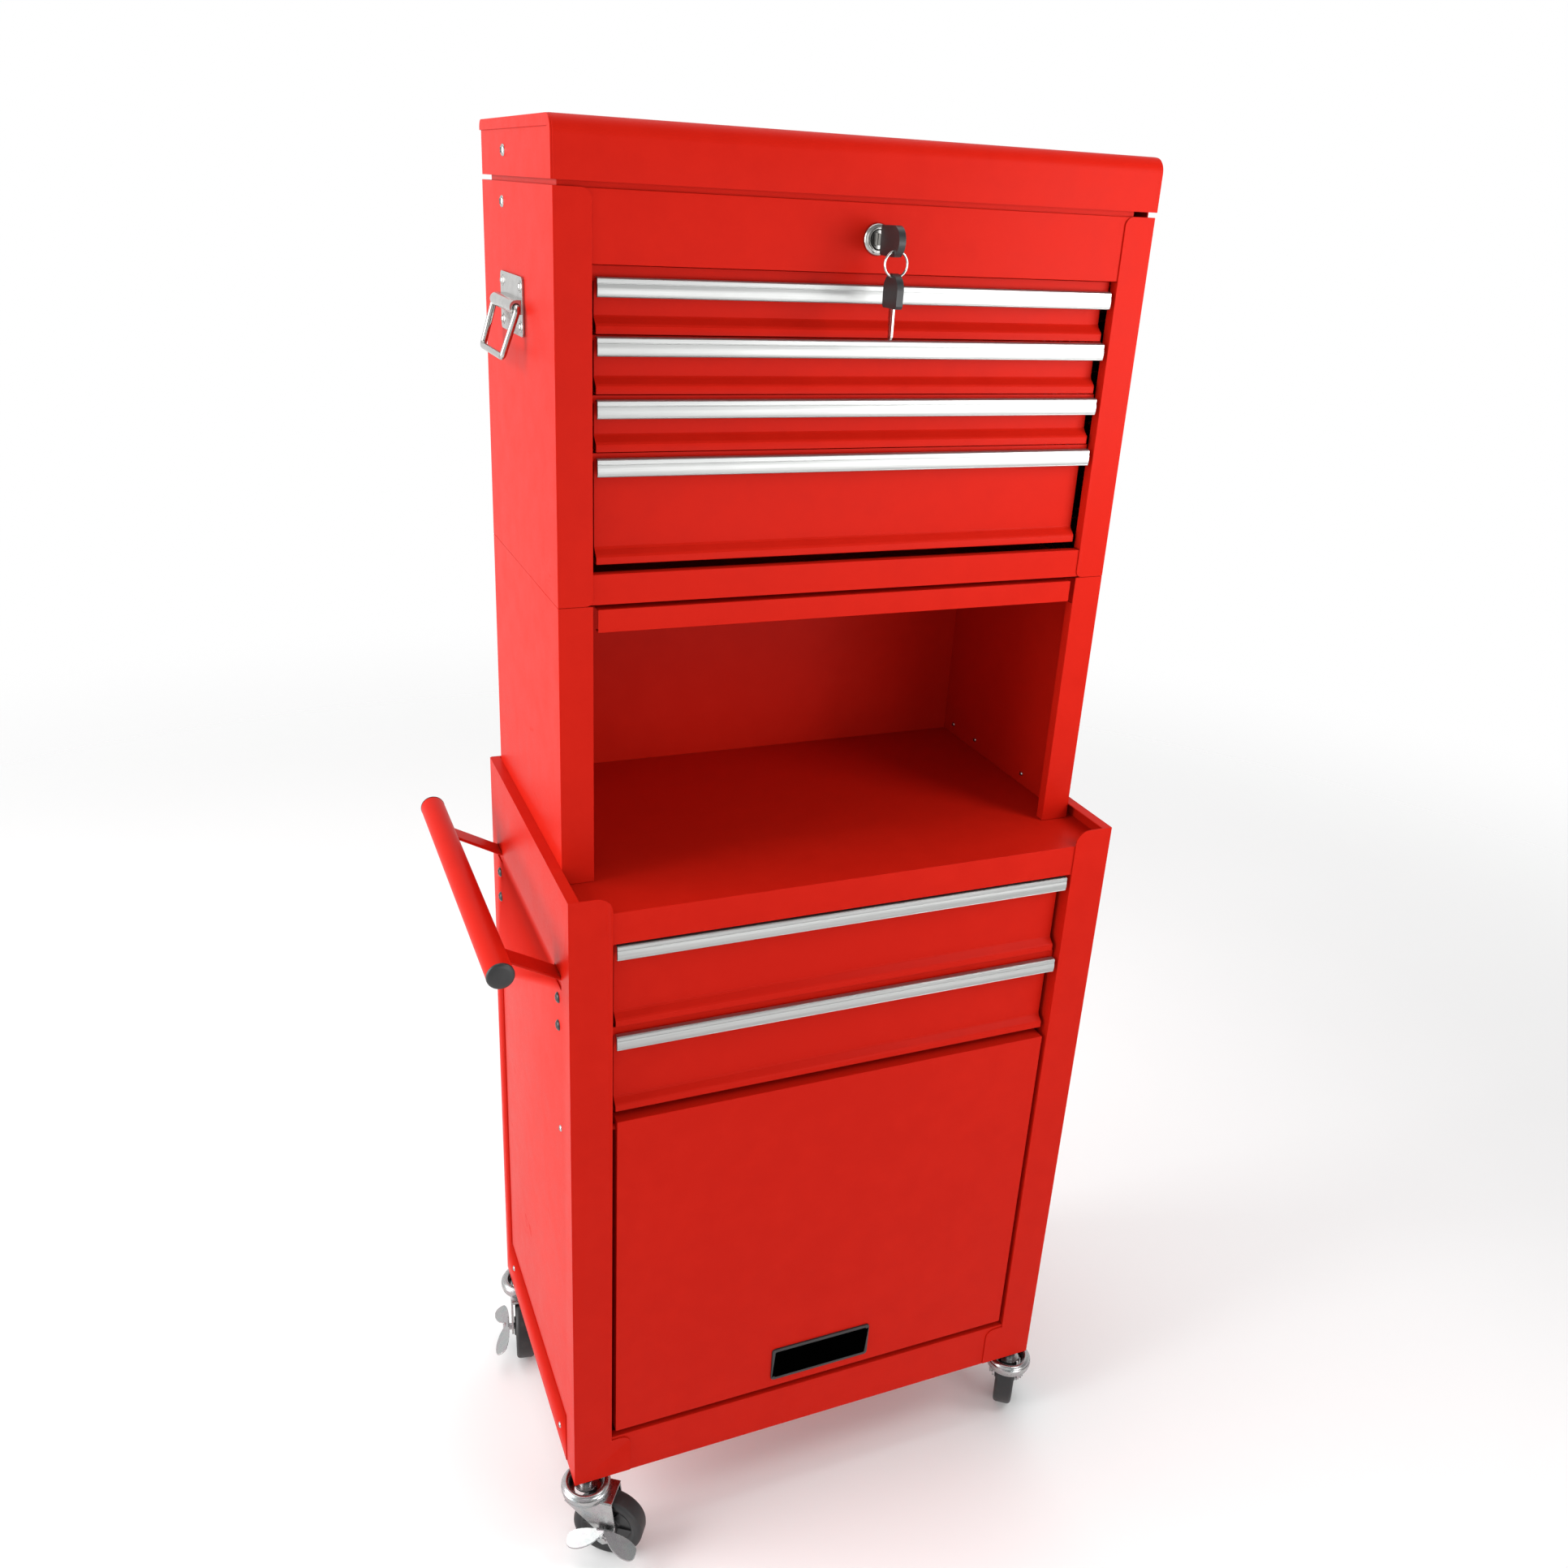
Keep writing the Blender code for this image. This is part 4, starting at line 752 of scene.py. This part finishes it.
def pressed_fork(place, brake):
    """Two legs from a bridge, with the axle's bolt head, end and nut."""
    bm = soften(block(Vector((5, -FORK_OUTER, 77.6)) * MM, Vector((33, FORK_OUTER, 80.4)) * MM), 0.9, 0.3)
    for side in (-1, 1):
        corners = [Vector((a, side * FORK_INNER, b)) * MM for a, b in LEG]
        leg = slab(corners, Vector((0, side * (FORK_OUTER - FORK_INNER) * MM, 0)))
        add(bm, soften(leg, 0.7, 0.3, narrow=1.6))
    bolt_end, nut_face = (25.8, 20.2) if brake else (21.0, 15.1)
    for near, far, radius, sides in ((19.5, -bolt_end, AXLE_R, 24), (18.9, FORK_OUTER, AXLE_NUT_R, 6),
                                     (-nut_face, -nut_face - AXLE_NUT_H, AXLE_NUT_R, 6)):
        part = rod(Vector((TRAIL, near, WHEEL_R)) * MM, Vector((TRAIL, far, WHEEL_R)) * MM,
                   radius * MM, sides)
        add(bm, soften(part, 0.4, 0.3))
    bm.transform(place)
    return bm


def caster(name, heading):
    """A caster's nut, fork with its ball race, and wheel, trailing towards heading in degrees."""
    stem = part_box(f"caster_{name}_stem")
    x, y = (stem[0][0] + stem[1][0]) / 2, (stem[0][1] + stem[1][1]) / 2
    place = Matrix.Translation((x, y, 0)) @ Matrix.Rotation(math.radians(heading), 4, "Z")
    piece(f"caster_{name}_stem_nut", soften(cad_copy(f"caster_{name}_stem"), 0.5, 0.3), ZINC, "body",
          [f"caster_{name}_stem"])
    braked = f"caster_{name}_pedal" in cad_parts
    fork = pressed_fork(place, braked)
    race = turned([(16.2, 84.2), (17.6, 88.2), (18.6, 89.6), (20.3, 90.5), (22.4, 90.1), (24.0, 88.6),
                   (24.6, 87.2), (24.3, 86.6), (25.6, 85.8), (26.0, 83.6), (25.8, 81.4), (25.1, 80.2),
                   (25.3, 79.0), (24.7, 77.7), (22.0, 77.2), (12.0, 77.2)], (x, y, 0), (0, 0, 1), 64)
    add(fork, race)
    piece(f"caster_{name}_fork_pressed", fork, ZINC, f"{name}_caster",
          [f"caster_{name}_fork"], 40)
    axle = place @ Vector((TRAIL * MM, 0, WHEEL_R * MM))
    side = place.to_3x3() @ Vector((0, 1, 0))
    tread = [(29.0, 9.6), (31.0, 10.4), (33.6, 10.5), (35.4, 10.0), (36.8, 8.8), (37.5, 6.6), (37.5, 0.0)]
    tread = tread + [(r, -h) for r, h in tread[-2::-1]]
    wheel = turned(tread, axle, side, 72)
    hub = [(4.1, 12.2), (10.2, 12.2), (11.0, 11.4), (11.4, 7.0), (13.0, 6.0), (24.5, 6.4), (27.0, 9.0),
           (29.2, 9.8), (29.2, -9.8), (27.0, -9.0), (24.5, -6.4), (13.0, -6.0), (11.4, -7.0), (11.0, -11.4),
           (10.2, -12.2), (4.1, -12.2), (4.1, 12.2)]
    add(wheel, paint_faces(turned(hub, axle, side, 56), 1))
    for i in range(6):
        spin = Matrix.Rotation(math.radians(60 * i), 4, "Y")
        rib = block((10.5 * MM, -8.3 * MM, -1.2 * MM), (27.5 * MM, 8.3 * MM, 1.2 * MM))
        rib.transform(place @ Matrix.Translation((TRAIL * MM, 0, WHEEL_R * MM)) @ spin)
        add(wheel, paint_faces(soften(rib, 0.4, 0.4), 1))
    piece(f"caster_{name}_wheel_built", wheel, [RUBBER, HUB], f"{name}_wheel",
          [f"caster_{name}_wheel"], 40)
    if braked:
        piece(f"caster_{name}_pedal_pressed", pressed_pedal(place), ZINC, f"{name}_pedal",
              [f"caster_{name}_pedal"], 40)


for name, heading in CASTERS.items():
    caster(name, heading)

# Solids that stay as they are, in plated steel
for node in ("lid_hinge_pin", "base_slide_rack_left", "base_slide_rack_right",
             "chest_slide_rack_left", "chest_slide_rack_right"):
    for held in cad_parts[node].material_slots:
        held.material = ZINC


# ---------------------------------------------------------------- floor, light and camera

FADE_START, FADE_END = 1.1, 3.2     # metres from the middle


def floor_finish():
    """Pale board that fades out into the white surround."""
    board = Finish("studio_floor")
    tone = board.noise(1.5, 2, 0.5)
    distance = board.node("ShaderNodeVectorMath", {"operation": "LENGTH"}, {0: board.place}).outputs["Value"]
    board.feed(board.shader.inputs["Alpha"], board.step(distance, FADE_START, FADE_END, 1.0, 0.0))
    return board.dress(board.blend(tone, rgba(0.88, 0.88, 0.88), rgba(0.92, 0.92, 0.92)), 0.9)


ground = bmesh.new()
bmesh.ops.create_grid(ground, x_segments=1, y_segments=1, size=9.0)
mesh = bpy.data.meshes.new("floor")
ground.to_mesh(mesh)
ground.free()
mesh.materials.append(floor_finish())
floor = bpy.data.objects.new("floor", mesh)
bpy.context.scene.collection.objects.link(floor)

bpy.context.scene.view_settings.view_transform = "Standard"
world = bpy.data.worlds.new("studio")
bpy.context.scene.world = world
world.use_nodes = True
sky = world.node_tree.nodes["Background"]
sky.inputs["Color"].default_value = rgba(1.0, 1.0, 1.0)
# A white surround at full strength all round, dimmer towards one side above the front
towards = world.node_tree.nodes.new("ShaderNodeTexCoord")
dimmer = world.node_tree.nodes.new("ShaderNodeVectorMath")
dimmer.operation = "DOT_PRODUCT"
dimmer.inputs[1].default_value = (0.25, -0.62, 0.74)
level = world.node_tree.nodes.new("ShaderNodeMapRange")
level.interpolation_type = "SMOOTHSTEP"
level.inputs["To Min"].default_value = 1.0
level.inputs["To Max"].default_value = 0.30
world.node_tree.links.new(towards.outputs["Generated"], dimmer.inputs[0])
world.node_tree.links.new(dimmer.outputs["Value"], level.inputs["Value"])
world.node_tree.links.new(level.outputs["Result"], sky.inputs["Strength"])


def soft_box(name, place, target, size, power):
    """A white panel of light that faces its target."""
    light = bpy.data.lights.new(name, "AREA")
    light.shape = "RECTANGLE"
    light.size, light.size_y = size
    light.energy = power
    made = bpy.data.objects.new(name, light)
    made.location = place
    made.rotation_euler = (Vector(target) - Vector(place)).to_track_quat("-Z", "Y").to_euler()
    made.visible_camera = False
    bpy.context.scene.collection.objects.link(made)


soft_box("key_left", (-2.6, 0.1, 1.4), (-0.2, 0, 0.7), (1.8, 2.4), 76)
soft_box("near_right", (0.62, -0.62, 1.32), (0.2, -0.1, 1.2), (0.3, 0.6), 4.6)
soft_box("fill_front", (-0.65, -1.75, 1.4), (0, 0, 1.0), (1.0, 1.0), 3.0)
soft_box("fill_low", (0.9, -2.2, 0.8), (0, 0, 0.25), (1.2, 0.8), 16)
soft_box("top", (0.0, 0.5, 3.2), (0, 0.1, 0), (2.6, 2.0), 30)

LENS, SENSOR = 31.3472, 36.0                    # mm
TURN, DIP, ROLL = 0.41043, 0.41062, 0.05736     # radians
camera = bpy.data.cameras.new("camera")
camera.sensor_width = SENSOR
camera.lens = LENS
camera.clip_start = 0.05
viewer = bpy.data.objects.new("camera", camera)
bpy.context.scene.collection.objects.link(viewer)
ahead = Vector((math.sin(TURN) * math.cos(DIP), math.cos(TURN) * math.cos(DIP), -math.sin(DIP)))
right = Vector((math.cos(TURN), -math.sin(TURN), 0))
above = right.cross(ahead)
rolled = right * math.cos(ROLL) + above * math.sin(ROLL)
turn = Matrix((rolled, ahead.cross(rolled) * -1, -ahead)).transposed()
viewer.matrix_world = Matrix.Translation(at(-508.06, -981.85, 1233.25)) @ turn.to_4x4()
bpy.context.scene.camera = viewer
